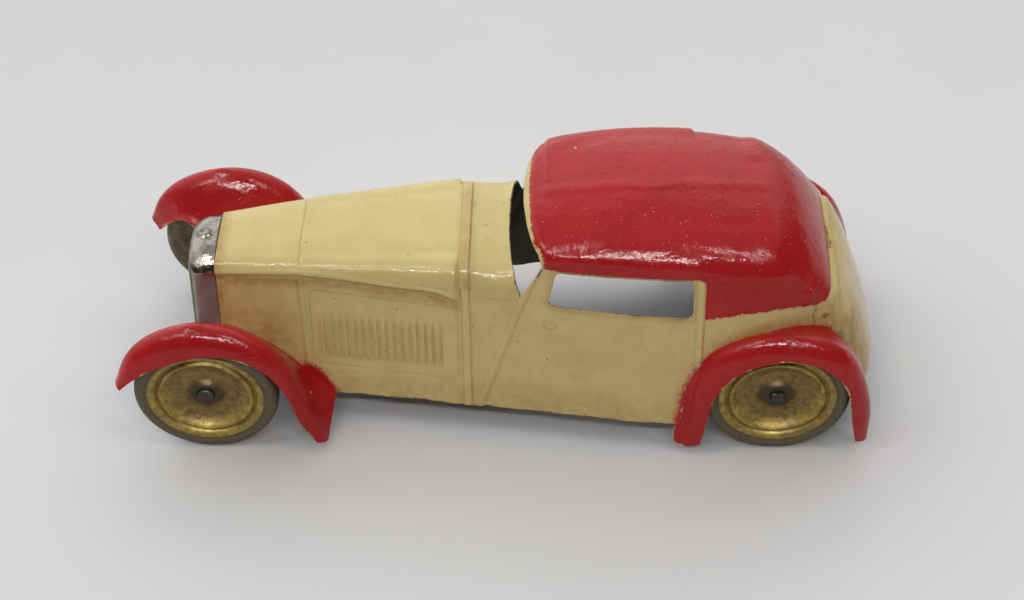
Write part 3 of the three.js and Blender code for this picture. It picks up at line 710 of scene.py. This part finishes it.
def build_boot(materials):
    levels = np.append(np.linspace(BOOT[0, 0], 27.5, 22)[:-1], np.linspace(27.5, SILL_Z, 60))
    depth, width = through(BOOT, levels, 1)[:, None], through(BOOT, levels, 2)[:, None]
    turn = np.linspace(-math.pi / 2, math.pi / 2, BOOT_STEPS)[None, :]
    across, behind = rounded(width, depth, turn, BOOT_SQUARE)
    grid = np.stack([SEAM_X - 0.05 - behind, across, np.broadcast_to(levels[:, None], across.shape)], axis=2)
    points, faces, normals = grid_mesh(grid, BACKWARD)
    x, y, z = points.T
    crease = bell(x + 59.2 + 0.12 * (26 - z), 0.5) * ease(z, 9, 12)
    lid = bell(np.abs(y) - 9.5 - 0.1 * (28 - z), 0.25) * between(z, 10.0, 26.0, 1.0)
    height = 0.1 * crease - 0.1 * lid + uneven(points, (5.0, 7), (2.0, 8))
    marks = {
        "red": ease(np.abs(y), 14.0, 16.8) * 4.0 - 3.9 - np.maximum(0, z - 25.5),
        "soft": np.ones(len(x)),
        # dark lines in the lid's outline and the crease: dirt and painted shade
        "dirt": 0.3 * lid + 0.25 * crease,
        # a little brown all over, more towards the sides below the top, where the browning is painted shade
        "stain": 0.3 + 0.9 * ease(np.abs(y), 5, 12) * ease(-z, -27, -22),
        "edge": np.minimum(z - SILL_Z, 30.2 - z),
    }
    return make_sheet("boot_pressing", points + normals * (SKIN + height)[:, None], faces, marks, materials)


# ---------- radiator ----------
RADIATOR_FRONT = 52.0
RADIATOR_CROWN, SHOULDER_Y, SHOULDER_Z = 31.1, 7.2, 27.1
FOOT_Y, FOOT_Z = 9.7, 14.9
RADIATOR_ROUND = 1.5
RADIATOR_SQUARE, RIM_SQUARE = 2.6, 2.1


def radiator_ring(inset, square, crown_steps=46, side_steps=34):
    """Outline of the radiator at some depth inside its widest: half-widths and heights, foot to foot."""
    turn = np.linspace(0, math.pi / 2, crown_steps)
    y, z = rounded(SHOULDER_Y - inset, RADIATOR_CROWN - SHOULDER_Z - inset, turn, square)
    z = SHOULDER_Z + z
    down = np.linspace(0, 1, side_steps)[1:]
    y = np.append(y, SHOULDER_Y + (FOOT_Y - SHOULDER_Y) * down - inset)
    z = np.append(z, SHOULDER_Z + (FOOT_Z - SHOULDER_Z) * down)
    return np.append(-y[:0:-1], y), np.append(z[:0:-1], z)


def build_radiator(materials):
    along = np.append(np.linspace(0, 0.6, 18), np.sqrt(np.linspace(0.42, 1, 22)))
    back, front = NOSE_X + 0.12, RADIATOR_FRONT
    rings = []
    for share in along:
        bend = min(1.0, max(0.0, (share - 0.3) / 0.7))
        square = RADIATOR_SQUARE - (RADIATOR_SQUARE - RIM_SQUARE) * share
        rings.append((back + (front - back) * share, RADIATOR_ROUND * (1 - math.sqrt(1 - bend ** 2)), square))
    for inward, forward in ((0.12, -0.02), (0.35, -0.05), (0.5, -0.25), (0.55, -0.7)):
        rings.append((front + forward, RADIATOR_ROUND + inward, RIM_SQUARE))
    grid = []
    for x, inset, square in rings:
        y, z = radiator_ring(inset, square)
        grid.append(np.stack([np.full(len(y), x), y, z], axis=1))
    points, faces, normals = grid_mesh(np.array(grid), UP)
    x, y, z = points.T
    cap = np.hypot(x - 49.7, y)
    crown = (z > 29.5) & (x < front - 0.3)
    height = crown * (0.3 * (1 - ease(cap, 0.9, 1.5)) - 0.42 * (1 - ease(cap, 0.3, 0.95)))
    ripple = 0.10 * waves(points, 1.6, 9) + 0.14 * waves(points, 3.4, 10)
    height = height + ripple * (x < front - 0.2)
    moved = points + normals * (SKIN + height)[:, None]
    flange = bell(x - front + 0.35, 0.22) * ease(-z, -29.0, -27.5)
    marks = {
        # the flange line, the back edge and the ring round the cap are darkened: dirt and painted shade
        "dirt": 0.5 * bell(cap - 1.0, 0.4) * crown + 0.8 * bell(x - back, 0.35) + flange,
        # low on the sides, where the plating takes a purple-brown colour that is partly a painted reflection
        # of the red wings
        "low": ease(-z, -28.6, -27.0) * ease(front - x, 0.6, 1.7),
    }
    return make_sheet("radiator_cowl", moved, faces, marks, materials, THIN_TIN)


GRILLE_STEPS = 110
RIB_PITCH = 0.95


def build_grille(materials):
    """A pressed plate with upright ribs, set inside the radiator's rim."""
    widths, heights = radiator_ring(RADIATOR_ROUND + 0.5, RIM_SQUARE, 30, 24)
    half = len(widths) // 2
    y = np.outer(widths[half:], np.linspace(-1, 1, GRILLE_STEPS))
    x = RADIATOR_FRONT - 0.85 - 0.25 * np.cos(y * 2 * math.pi / RIB_PITCH)
    grid = np.stack([x, y, np.repeat(heights[half:, None], GRILLE_STEPS, axis=1)], axis=2)
    points, faces, _ = grid_mesh(grid, FORWARD)
    return make_sheet("radiator_ribs", points, faces, {}, materials, 0.25)


# ---------- wheels and axles ----------
# profiles: radius, and depth behind the wheel's outer face
HUB_HOLE = {"front": (1.52, 1.3), "rear": (1.2, 1.3)}
DISC = [(2.1, 1.15), (2.5, 1.4), (3.2, 2.2), (4.4, 2.6), (5.9, 2.3), (7.0, 1.5), (7.6, 0.85), (8.1, 0.6),
        (8.4, 1.25), (8.65, 1.3), (8.9, 0.8), (9.6, 0.4), (10.1, 0.42), (10.4, 0.72), (10.7, 0.5),
        (11.3, 0.35), (11.9, 0.5), (12.3, 0.95), (12.5, 1.6), (12.5, 2.25)]
BACK = [(12.5, 2.55), (12.5, 3.3), (12.2, 4.1), (11.4, 4.7), (9.0, 4.75), (7.0, 4.3), (5.0, 4.55),
        (2.2, 4.6), (1.7, 4.4)]
GROOVE_R = 8.45
WHEEL_STEPS = 144


def build_wheel(corner, materials):
    """The dished disc and the back of one wheel."""
    end, word = corner.split("_")
    side = 1 if word == "left" else -1
    centre = FRONT_AXLE if end == "front" else REAR_AXLE
    made = []
    for part, profile, way in (("disc", [HUB_HOLE[end]] + DISC, side), ("back", BACK, -side)):
        points, faces, radius = lathe(smooth_profile(profile), WHEEL_STEPS, centre, side)
        wobble = 0.035 * waves(points, 2.6, 11 + len(corner)) * ease(12.1 - radius, 0, 0.8)
        points = points + np.outer(wobble, [0, side, 0])
        if np.median(vertex_normals(points, faces)[:, 1]) * way < 0:
            faces = faces[:, ::-1]
        # a dark ring in the groove: dirt and painted shade
        marks = {"radius": radius, "dirt": bell(radius - GROOVE_R, 0.3)}
        name = f"{corner}_wheel_{part}_turned"
        made.append(make_sheet(name, points, faces, marks, materials[part], THIN_TIN))
    return made


AXLE_SUNK = 0.5
AXLE_STEPS = 48
KEY_HALF = 1.12


def build_axle(name, centre, squared, material):
    """A wire axle whose ends are domed, or filed to a square key."""
    profile = [(0.02, 0.0), (0.9, 0.06), (1.35, 0.28), (1.5, 0.6), (1.5, 2.2), (1.5, FACE_Y)]
    profile = smooth_profile([(radius, depth + AXLE_SUNK) for radius, depth in profile])
    points, faces = np.empty((0, 3)), []
    for side in (1, -1):
        half, half_faces, _ = lathe(profile, AXLE_STEPS, centre, side)
        if squared:
            x, z = half[:, 0] + MID_X - centre[0], half[:, 2] - centre[2]
            key = ease(np.abs(half[:, 1]), FACE_Y - 3.4, FACE_Y - 3.0)
            reach = np.maximum(np.abs(x), np.abs(z)) + 1e-9
            squash = np.minimum(1, KEY_HALF / reach) * key + (1 - key)
            half[:, 0] = x * squash + centre[0] - MID_X
            half[:, 2] = z * squash + centre[2]
        faces += list(half_faces + len(points))
        points = np.vstack([points, half])
    return make_object(name, points, faces, [material])


# ---------- materials ----------
class Nodes:
    """Adds nodes to a tree and links them."""

    def __init__(self, tree):
        self.tree = tree

    def attach(self, socket, value):
        if isinstance(value, bpy.types.NodeSocket):
            self.tree.links.new(value, socket)
        else:
            socket.default_value = value

    def fill(self, node, inputs):
        for key, value in inputs.items():
            self.attach(node.inputs[key.replace("_", " ")], value)

    def node(self, kind, settings=(), **inputs):
        """A new node, with its own settings made before its inputs are filled."""
        made = self.tree.nodes.new("ShaderNode" + kind)
        for key, value in settings:
            setattr(made, key, value)
        self.fill(made, inputs)
        return made

    def span(self, value, low, high, to_low=0.0, to_high=1.0):
        """A smooth change from to_low to to_high while the value goes from low to high."""
        ends = dict(From_Min=low, From_Max=high, To_Min=to_low, To_Max=to_high)
        node = self.node("MapRange", [("interpolation_type", "SMOOTHSTEP")], Value=value, **ends)
        return node.outputs["Result"]

    def mix(self, share, a, b):
        return self.node("Mix", [("data_type", "RGBA")], Factor=share, A=a, B=b).outputs["Result"]


class Shader(Nodes):
    """A node material on a principled shader, with places counted in millimetres."""

    def __init__(self, name):
        self.material = bpy.data.materials.new(name)
        self.material.use_nodes = True
        super().__init__(self.material.node_tree)
        self.tree.nodes.clear()
        self.shader = self.node("BsdfPrincipled")
        self.node("OutputMaterial", Surface=self.shader.outputs[0])
        coordinates = self.node("TexCoord").outputs["Object"]
        self.place = self.node("Mapping", Scale=(1 / MM,) * 3, Vector=coordinates).outputs[0]

    def set(self, **inputs):
        self.fill(self.shader, inputs)

    def mark(self, name):
        return self.node("Attribute", [("attribute_name", name)]).outputs["Fac"]

    def noise(self, size, detail=3.0, rough=0.55, stretch=None):
        """Noise between 0 and 1 with features about this many millimetres across."""
        place = self.node("Mapping", Scale=stretch, Vector=self.place).outputs[0] if stretch else self.place
        node = self.node("TexNoise", Scale=1 / size, Detail=detail, Roughness=rough, Vector=place)
        return node.outputs["Fac"]

    def spots(self, spacing, radius, share, soft=0.5):
        """Scattered round spots, in a share of the cells."""
        node = self.node("TexVoronoi", Scale=1 / spacing, Vector=self.place)
        near = self.span(node.outputs["Distance"], radius / spacing, radius * soft / spacing)
        split = self.node("SeparateColor", Color=node.outputs["Color"])
        return self.times(near, self.math("GREATER_THAN", split.outputs[0], 1 - share))

    def math(self, operation, a, b=0.0, c=0.0):
        node = self.node("Math", [("operation", operation)])
        for socket, value in zip(node.inputs, (a, b, c)):
            self.attach(socket, value)
        return node.outputs[0]

    def times(self, a, b):
        return self.math("MULTIPLY", a, b)

    def bump(self, height, millimetres, below=None):
        """Relief of this many millimetres, laid over another relief if one is given."""
        node = self.node("Bump", Strength=1.0, Distance=millimetres * MM, Height=height)
        if below is not None:
            self.attach(node.inputs["Normal"], below)
        return node.outputs[0]


CREAM = (0.70, 0.57, 0.245, 1)
CREAM_DEEP = (0.60, 0.46, 0.165, 1)
RED = (0.46, 0.016, 0.018, 1)
RED_DEEP = (0.36, 0.010, 0.011, 1)
GRIME_AND_SHADE = (0.07, 0.045, 0.02, 1)
RUST = (0.20, 0.07, 0.02, 1)
BARE = (0.16, 0.14, 0.12, 1)
CREAM_PALE = (0.80, 0.68, 0.38, 1)
SPOTTING = (0.34, 0.21, 0.07, 1)
STAIN_AND_SHADE = (0.40, 0.21, 0.055, 1)
UNDERCOAT = (0.62, 0.44, 0.22, 1)
NICK = (0.66, 0.46, 0.26, 1)
BLACK_DIRT_AND_SHADE = (0.04, 0.03, 0.02, 1)


def body_paint():
    """Cream enamel with red sprayed over it through a mask: soft edges, chips, dirt and dust, brown staining,
    and painted shade in the grooves and on the cream.
    """
    s = Shader("two_tone_enamel")
    red, soft, dirt, edge = s.mark("red"), s.mark("soft"), s.mark("dirt"), s.mark("edge")
    fine, medium, broad = s.noise(0.35, 2), s.noise(1.3, 3), s.noise(9, 3)

    reach = s.math("MULTIPLY_ADD", soft, 0.75, 0.12)
    wander = s.math("ADD", s.math("SUBTRACT", medium, 0.5), s.times(s.math("SUBTRACT", fine, 0.5), 2.0))
    placed = s.math("MULTIPLY_ADD", wander, s.math("MULTIPLY_ADD", soft, 0.6, 0.55), red)
    painted = s.span(placed, s.times(reach, -1), reach)
    haze = s.times(s.span(red, -3.4, 0.4, 0, 0.4), s.times(soft, s.span(medium, 0.3, 0.75)))
    painted = s.math("MAXIMUM", painted, haze)

    cream = s.mix(s.span(broad, 0.35, 0.75, 0, 0.45), CREAM, CREAM_DEEP)
    cream = s.mix(s.times(s.span(medium, 0.45, 0.8), 0.12), cream, CREAM_PALE)
    scarlet = s.mix(s.span(broad, 0.3, 0.7, 0, 0.5), RED, RED_DEEP)
    colour = s.mix(painted, cream, scarlet)

    on_cream = s.math("SUBTRACT", 1.0, painted)
    spotting = s.times(s.span(s.noise(3.2, 5, 0.7), 0.56, 0.78), 0.22)
    colour = s.mix(s.times(spotting, on_cream), colour, SPOTTING)
    # brown staining and painted shade on the cream, from the stain mark
    stain_and_shade_share = s.times(s.mark("stain"), s.span(s.noise(2.2, 5, 0.65), 0.3, 0.65, 0.3, 0.8))
    colour = s.mix(s.times(stain_and_shade_share, on_cream), colour, STAIN_AND_SHADE)
    # dark lines in grooves and along beads: dirt and painted shade
    lines = s.times(dirt, s.span(s.noise(0.9, 3), 0.25, 0.7, 0.35, 1.0))
    colour = s.mix(s.times(lines, 0.72), colour, GRIME_AND_SHADE)
    specks = s.math("MAXIMUM", s.spots(2.6, 0.22, 0.22), s.spots(1.3, 0.09, 0.12))
    colour = s.mix(s.times(specks, s.span(painted, 0, 1, 0.8, 0.35)), colour, RUST)

    bite = s.math("MULTIPLY_ADD", s.noise(0.6, 3, 0.6), 0.7, -0.36)
    bite = s.math("ADD", bite, s.span(s.noise(4.5, 4, 0.7), 0.4, 0.75, -0.12, 0.42))
    chipped = s.span(s.math("SUBTRACT", bite, edge), 0.0, 0.06)
    under = s.mix(painted, s.mix(s.span(fine, 0.4, 0.6), BARE, RUST), UNDERCOAT)
    colour = s.mix(s.times(chipped, 0.85), colour, under)
    nicks = s.times(s.spots(4.2, 0.28, 0.12, 0.8), painted)
    s.set(Base_Color=s.mix(nicks, colour, NICK))

    rough = s.math("ADD", s.span(s.noise(2.4, 4, 0.6), 0.3, 0.8, 0.11, 0.24), s.times(dirt, 0.3))
    s.set(Roughness=s.math("MULTIPLY_ADD", chipped, 0.25, rough), Specular_IOR_Level=0.22)

    peel = s.bump(s.noise(0.7, 2, 0.5), 0.018, s.bump(s.noise(2.2, 3, 0.6), 0.15))
    dust = s.math("MAXIMUM", s.spots(1.0, 0.26, 0.4, 0.1), s.spots(0.5, 0.12, 0.3, 0.1))
    dust = s.times(dust, s.span(painted, 0, 1, 0.35, 1.0))
    lumps = s.times(s.spots(2.8, 0.5, 0.45, 0.7), painted)
    raised = s.bump(dust, 0.11, s.bump(lumps, 0.07, peel))
    film = s.math("SUBTRACT", painted, s.times(s.math("MAXIMUM", chipped, nicks), 1.6))
    s.set(Normal=s.bump(film, 0.025, raised))
    return s.material


def metal(name, dark, light, rough, metallic=0.9, tone=(1.2, 5, 0.6), grain=(0.3, 0.012), contrast=None):
    """Blotchy metal. The tone is a size, detail and roughness of noise, and the grain a size and depth."""
    s = Shader(name)
    blotch = s.noise(*tone)
    share = s.span(blotch, *contrast) if contrast else blotch
    s.set(Base_Color=s.mix(share, (*dark, 1), (*light, 1)), Metallic=metallic)
    s.set(Roughness=s.span(blotch, 0.2, 0.8, *rough), Normal=s.bump(s.noise(grain[0], 3), grain[1]))
    return s.material


def cut_edge():
    """The tin's cut edge, mostly painted over, bare in places."""
    s = Shader("cut_edge")
    red, soft = s.mark("red"), s.mark("soft")
    painted = s.span(red, -0.3, 0.3)
    colour = s.mix(painted, (0.55, 0.42, 0.19, 1), (0.34, 0.02, 0.02, 1))
    worn = s.span(s.noise(1.9, 4, 0.7), 0.5, 0.66)
    bare = s.mix(soft, (0.10, 0.07, 0.045, 1), (0.40, 0.27, 0.13, 1))
    s.set(Base_Color=s.mix(worn, colour, bare))
    s.set(Roughness=s.span(worn, 0, 1, 0.35, 0.6))
    s.set(Normal=s.bump(s.noise(0.3, 2), 0.02))
    return s.material


def nickel():
    """Worn plating, duller and flatter low on the radiator's sides, where its purple-brown colour is partly
    tarnish and partly a painted reflection of the red wings; blackened with dirt and painted shade in its
    joints.
    """
    s = Shader("worn_nickel")
    dirt, low = s.mark("dirt"), s.mark("low")
    tarnish = s.span(s.noise(2.6, 4, 0.6), 0.42, 0.75)
    colour = s.mix(s.times(tarnish, 0.6), (0.31, 0.285, 0.245, 1), (0.13, 0.10, 0.08, 1))
    # purple-brown low on the sides: partly tarnish, partly a painted reflection of the red wings
    colour = s.mix(s.times(low, 0.85), colour, (0.23, 0.16, 0.15, 1))
    # blackened where dirt and painted shade lie in the joints
    s.set(Base_Color=s.mix(s.times(dirt, 0.85), colour, BLACK_DIRT_AND_SHADE), Metallic=s.span(low, 0, 1, 1.0, 0.35))
    rough = s.math("ADD", s.span(tarnish, 0, 1, 0.13, 0.34), s.times(dirt, 0.3))
    s.set(Roughness=s.math("MULTIPLY_ADD", low, 0.42, rough))
    hammered = s.bump(s.noise(1.1, 2, 0.5), 0.13)
    s.set(Normal=s.bump(s.noise(0.25, 2), 0.006, hammered))
    return s.material


def wheel_lacquer():
    """Thin gold lacquer on the dish and bead, rubbed grey on the tyre and round the hub, the dish browner
    with patina and painted shade, and a dark ring of dirt and painted shade in the groove.
    """
    s = Shader("gold_lacquer")
    radius, dirt = s.mark("radius"), s.mark("dirt")
    blotch = s.noise(1.1, 6, 0.75)
    grain = s.noise(0.35, 3, 0.6)
    gold = s.mix(s.span(blotch, 0.35, 0.65), (0.52, 0.375, 0.08, 1), (0.25, 0.18, 0.06, 1))
    bright = s.times(s.span(radius, 5.6, 7.4), s.span(radius, 9.9, 10.4, 1, 0))
    bright = s.times(bright, s.span(s.noise(3.0, 4, 0.6), 0.36, 0.62, 0.3, 1.0))
    # the dish is browner: patina and painted shade
    bowl_patina_and_shade = s.mix(s.span(blotch, 0.4, 0.66), (0.28, 0.19, 0.06, 1), (0.14, 0.095, 0.035, 1))
    colour = s.mix(bright, bowl_patina_and_shade, gold)
    tyre = s.span(radius, 9.7, 10.5)
    colour = s.mix(tyre, colour, s.mix(grain, (0.085, 0.068, 0.036, 1), (0.16, 0.13, 0.075, 1)))
    hub = s.span(radius, 3.6, 2.0)
    colour = s.mix(hub, colour, s.mix(blotch, (0.02, 0.018, 0.013, 1), (0.085, 0.07, 0.048, 1)))
    # a dark ring in the groove: dirt and painted shade
    colour = s.mix(s.times(dirt, 0.3), colour, (0.05, 0.035, 0.012, 1))
    cracks = s.span(s.noise(2.2, 6, 0.75, (1, 1, 3)), 0.62, 0.66)
    colour = s.mix(s.times(cracks, 0.85), colour, (0.025, 0.018, 0.01, 1))
    s.set(Base_Color=colour, Metallic=s.span(tyre, 0, 1, 0.6, 0.3))
    rough = s.span(grain, 0.2, 0.8, 0.38, 0.58)
    s.set(Roughness=s.math("MULTIPLY_ADD", tyre, 0.12, rough))
    s.set(Normal=s.bump(grain, 0.02, s.bump(blotch, 0.05)))
    return s.material


def floor_paper():
    s = Shader("pale_paper")
    tone = s.noise(60, 4)
    s.set(Base_Color=s.mix(tone, (0.73, 0.725, 0.72, 1), (0.78, 0.775, 0.77, 1)))
    s.set(Roughness=0.8, Specular_IOR_Level=0.2, Normal=s.bump(s.noise(9, 3), 0.10))
    return s.material


# ---------- assembly ----------
paint = body_paint()
inside = metal("dull_inside", (0.05, 0.04, 0.026), (0.11, 0.09, 0.06), (0.45, 0.7), metallic=0.3,
               tone=(3.0, 4), grain=(0.8, 0.02))
rim = cut_edge()
coat = [paint, inside, rim]

body = build_body(coat)
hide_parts("body_shell")
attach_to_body(body, "car")

# rails, hub, how it holds to the body, its relief, and how far its fillet runs out
wing_rails = {
    "front": ((FRONT_LIP, FRONT_CROWN, FRONT_ROOT), HALF_BASE, front_attach, front_relief, 0.3),
    "rear": ((REAR_LIP, REAR_CROWN, REAR_ROOT), -HALF_BASE, rear_attach, rear_relief, 0.4),
}
for end, (rails, hub_x, attach, relief, reach) in wing_rails.items():
    for word, side in (("left", 1), ("right", -1)):
        wing = build_wing(f"{end}_{word}_wing", rails, hub_x, attach, side, coat, relief, reach)
        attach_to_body(wing, "car")

boot = build_boot(coat)
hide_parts("tail_panel")
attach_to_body(boot, "car")

plate = nickel()
rubbed = dict(rough=(0.35, 0.62), tone=(1.6, 5, 0.6), grain=(0.5, 0.02), contrast=(0.3, 0.7))
tin = metal("tarnished_tin", (0.045, 0.040, 0.030), (0.17, 0.15, 0.11), metallic=0.75, **rubbed)
wheel_back = metal("olive_wheel_back", (0.07, 0.055, 0.025), (0.20, 0.16, 0.085), metallic=0.35, **rubbed)
radiator = build_radiator([plate, inside, plate])
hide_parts("radiator_shell")
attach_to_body(radiator, "car")
ribs = build_grille([tin, inside, tin])
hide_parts("radiator_grille")
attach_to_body(ribs, "car")

lacquer = wheel_lacquer()
steel = metal("darkened_steel", (0.025, 0.023, 0.02), (0.11, 0.10, 0.085), (0.36, 0.56))
wheel_coats = {"disc": [lacquer, inside, lacquer], "back": [wheel_back, inside, wheel_back]}
for corner in ("front_left", "front_right", "rear_left", "rear_right"):
    carrier = "rear_axle_set" if "rear" in corner else f"{corner}_wheel"
    disc, back = build_wheel(corner, wheel_coats)
    for made, node, slot in ((disc, "disc", "gold_lacquer"), (back, "back", "dark_tin")):
        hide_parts(f"{corner}_wheel_{node}")
        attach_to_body(made, carrier)

for name, centre, squared, carrier in (("front_axle", FRONT_AXLE, False, "car"),
                                       ("rear_axle", REAR_AXLE, True, "rear_axle_set")):
    axle = build_axle(f"{name}_wire", centre, squared, steel)
    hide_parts(name)
    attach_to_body(axle, carrier)

brass = metal("stamped_brass", (0.28, 0.19, 0.07), (0.50, 0.36, 0.14), (0.30, 0.50))
iron = metal("cast_flywheel", (0.05, 0.05, 0.052), (0.12, 0.12, 0.125), (0.45, 0.65), tone=(2.0, 5, 0.6))
carried = {
    tin: ["motor_plate_left", "motor_plate_right", "motor_hanger"],
    steel: ["motor_pillar_1", "motor_pillar_2", "motor_pillar_3", "idler_spindle", "flywheel_spindle"],
    brass: ["axle_gear", "idler_pinion", "idler_gear", "flywheel_pinion"],
    iron: ["flywheel"],
}
for material, nodes in carried.items():
    for node in nodes:
        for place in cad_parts[node].material_slots:
            place.material = material

# ---------- studio ----------
bpy.ops.mesh.primitive_plane_add(size=6, location=(0, 0, 0))
floor = bpy.context.object
floor.name = "studio_floor"
floor.data.materials.append(floor_paper())

DOME_TILT = (0.28, -0.62, 0.68)
DOME_EDGE = (0.14, 0.85)
DOME_SHADE = (0.07, 0.05, 0.03, 1)
DOME_LIGHT = (1.50, 1.52, 1.55, 1)
CEILING_EDGE = (0.76, 0.86)
CEILING = 0.44


def sky():
    """A soft pale dome over the back of the table, falling to warm shade low on the near side."""
    world = bpy.data.worlds.new("studio")
    world.use_nodes = True
    dome = Nodes(world.node_tree)
    background = world.node_tree.nodes["Background"]
    way = dome.node("TexCoord").outputs["Generated"]
    tilt = dome.node("VectorMath", [("operation", "DOT_PRODUCT")])
    dome.attach(tilt.inputs[0], way)
    dome.attach(tilt.inputs[1], DOME_TILT)
    share = dome.span(tilt.outputs["Value"], *DOME_EDGE)
    dome.attach(background.inputs["Color"], dome.mix(share, DOME_SHADE, DOME_LIGHT))
    height = dome.node("SeparateXYZ", Vector=way).outputs["Z"]
    dome.attach(background.inputs["Strength"], dome.span(height, *CEILING_EDGE, 1.0, CEILING))
    bpy.context.scene.world = world


sky()
bpy.context.scene.view_settings.view_transform = "Standard"

CAR = (0, 0, 0.02)
PANEL, GLINT = 20.0, 38.0
# name, place, size, radiance, and whether it lights surfaces as well as showing in reflections
LAMPS = (
    ("near_panel", (0.0, 0.62, 0.85), (0.85, 0.045), PANEL, True),
    ("left_tube", (-0.5, 0.22, 0.9), (0.02, 0.8), PANEL, True),
    ("right_tube", (0.5, 0.22, 0.9), (0.02, 0.8), PANEL, True),
    ("near_glint", (0.0, 0.60, 0.86), (0.75, 0.085), GLINT, False),
    ("left_glint", (-0.46, 0.3, 0.9), (0.04, 0.5), GLINT, False),
    ("right_glint", (0.46, 0.3, 0.9), (0.04, 0.5), GLINT, False),
)


def softbox(name, place, size, radiance, lights):
    """A panel of this size in metres, turned towards the car."""
    lamp = bpy.data.lights.new(name, "AREA")
    lamp.shape = "RECTANGLE"
    lamp.size, lamp.size_y = size
    lamp.energy = radiance * math.pi * size[0] * size[1]
    thing = bpy.data.objects.new(name, lamp)
    thing.location = place
    thing.rotation_euler = (Vector(CAR) - Vector(place)).to_track_quat("-Z", "Y").to_euler()
    thing.visible_diffuse = lights
    bpy.context.scene.collection.objects.link(thing)


for settings in LAMPS:
    softbox(*settings)

# place in millimetres, angles in degrees, focal length in picture dots
PICTURE_WIDTH = 1024
CAMERA = dict(place=(-13.80, 254.84, 264.48), azimuth=182.36, elevation=44.36, roll=-1.59, focal=2000.0)


def aim_camera():
    camera = bpy.data.cameras.new("camera")
    camera.sensor_width = 36
    camera.lens = CAMERA["focal"] / PICTURE_WIDTH * camera.sensor_width
    camera.clip_start, camera.clip_end = 0.01, 20
    a, e, r = (math.radians(CAMERA[key]) for key in ("azimuth", "elevation", "roll"))
    back = Vector((math.sin(a) * math.cos(e), -math.cos(a) * math.cos(e), math.sin(e)))
    right = (-back).cross(Vector((0, 0, 1))).normalized()
    up = right.cross(-back)
    right, up = right * math.cos(r) + up * math.sin(r), up * math.cos(r) - right * math.sin(r)
    thing = bpy.data.objects.new("camera", camera)
    turn = Matrix((right, up, back)).transposed().to_4x4()
    x, y, z = CAMERA["place"]
    thing.matrix_world = Matrix.Translation(Vector(((x + MID_X) * MM, y * MM, z * MM))) @ turn
    bpy.context.scene.collection.objects.link(thing)
    bpy.context.scene.camera = thing


aim_camera()
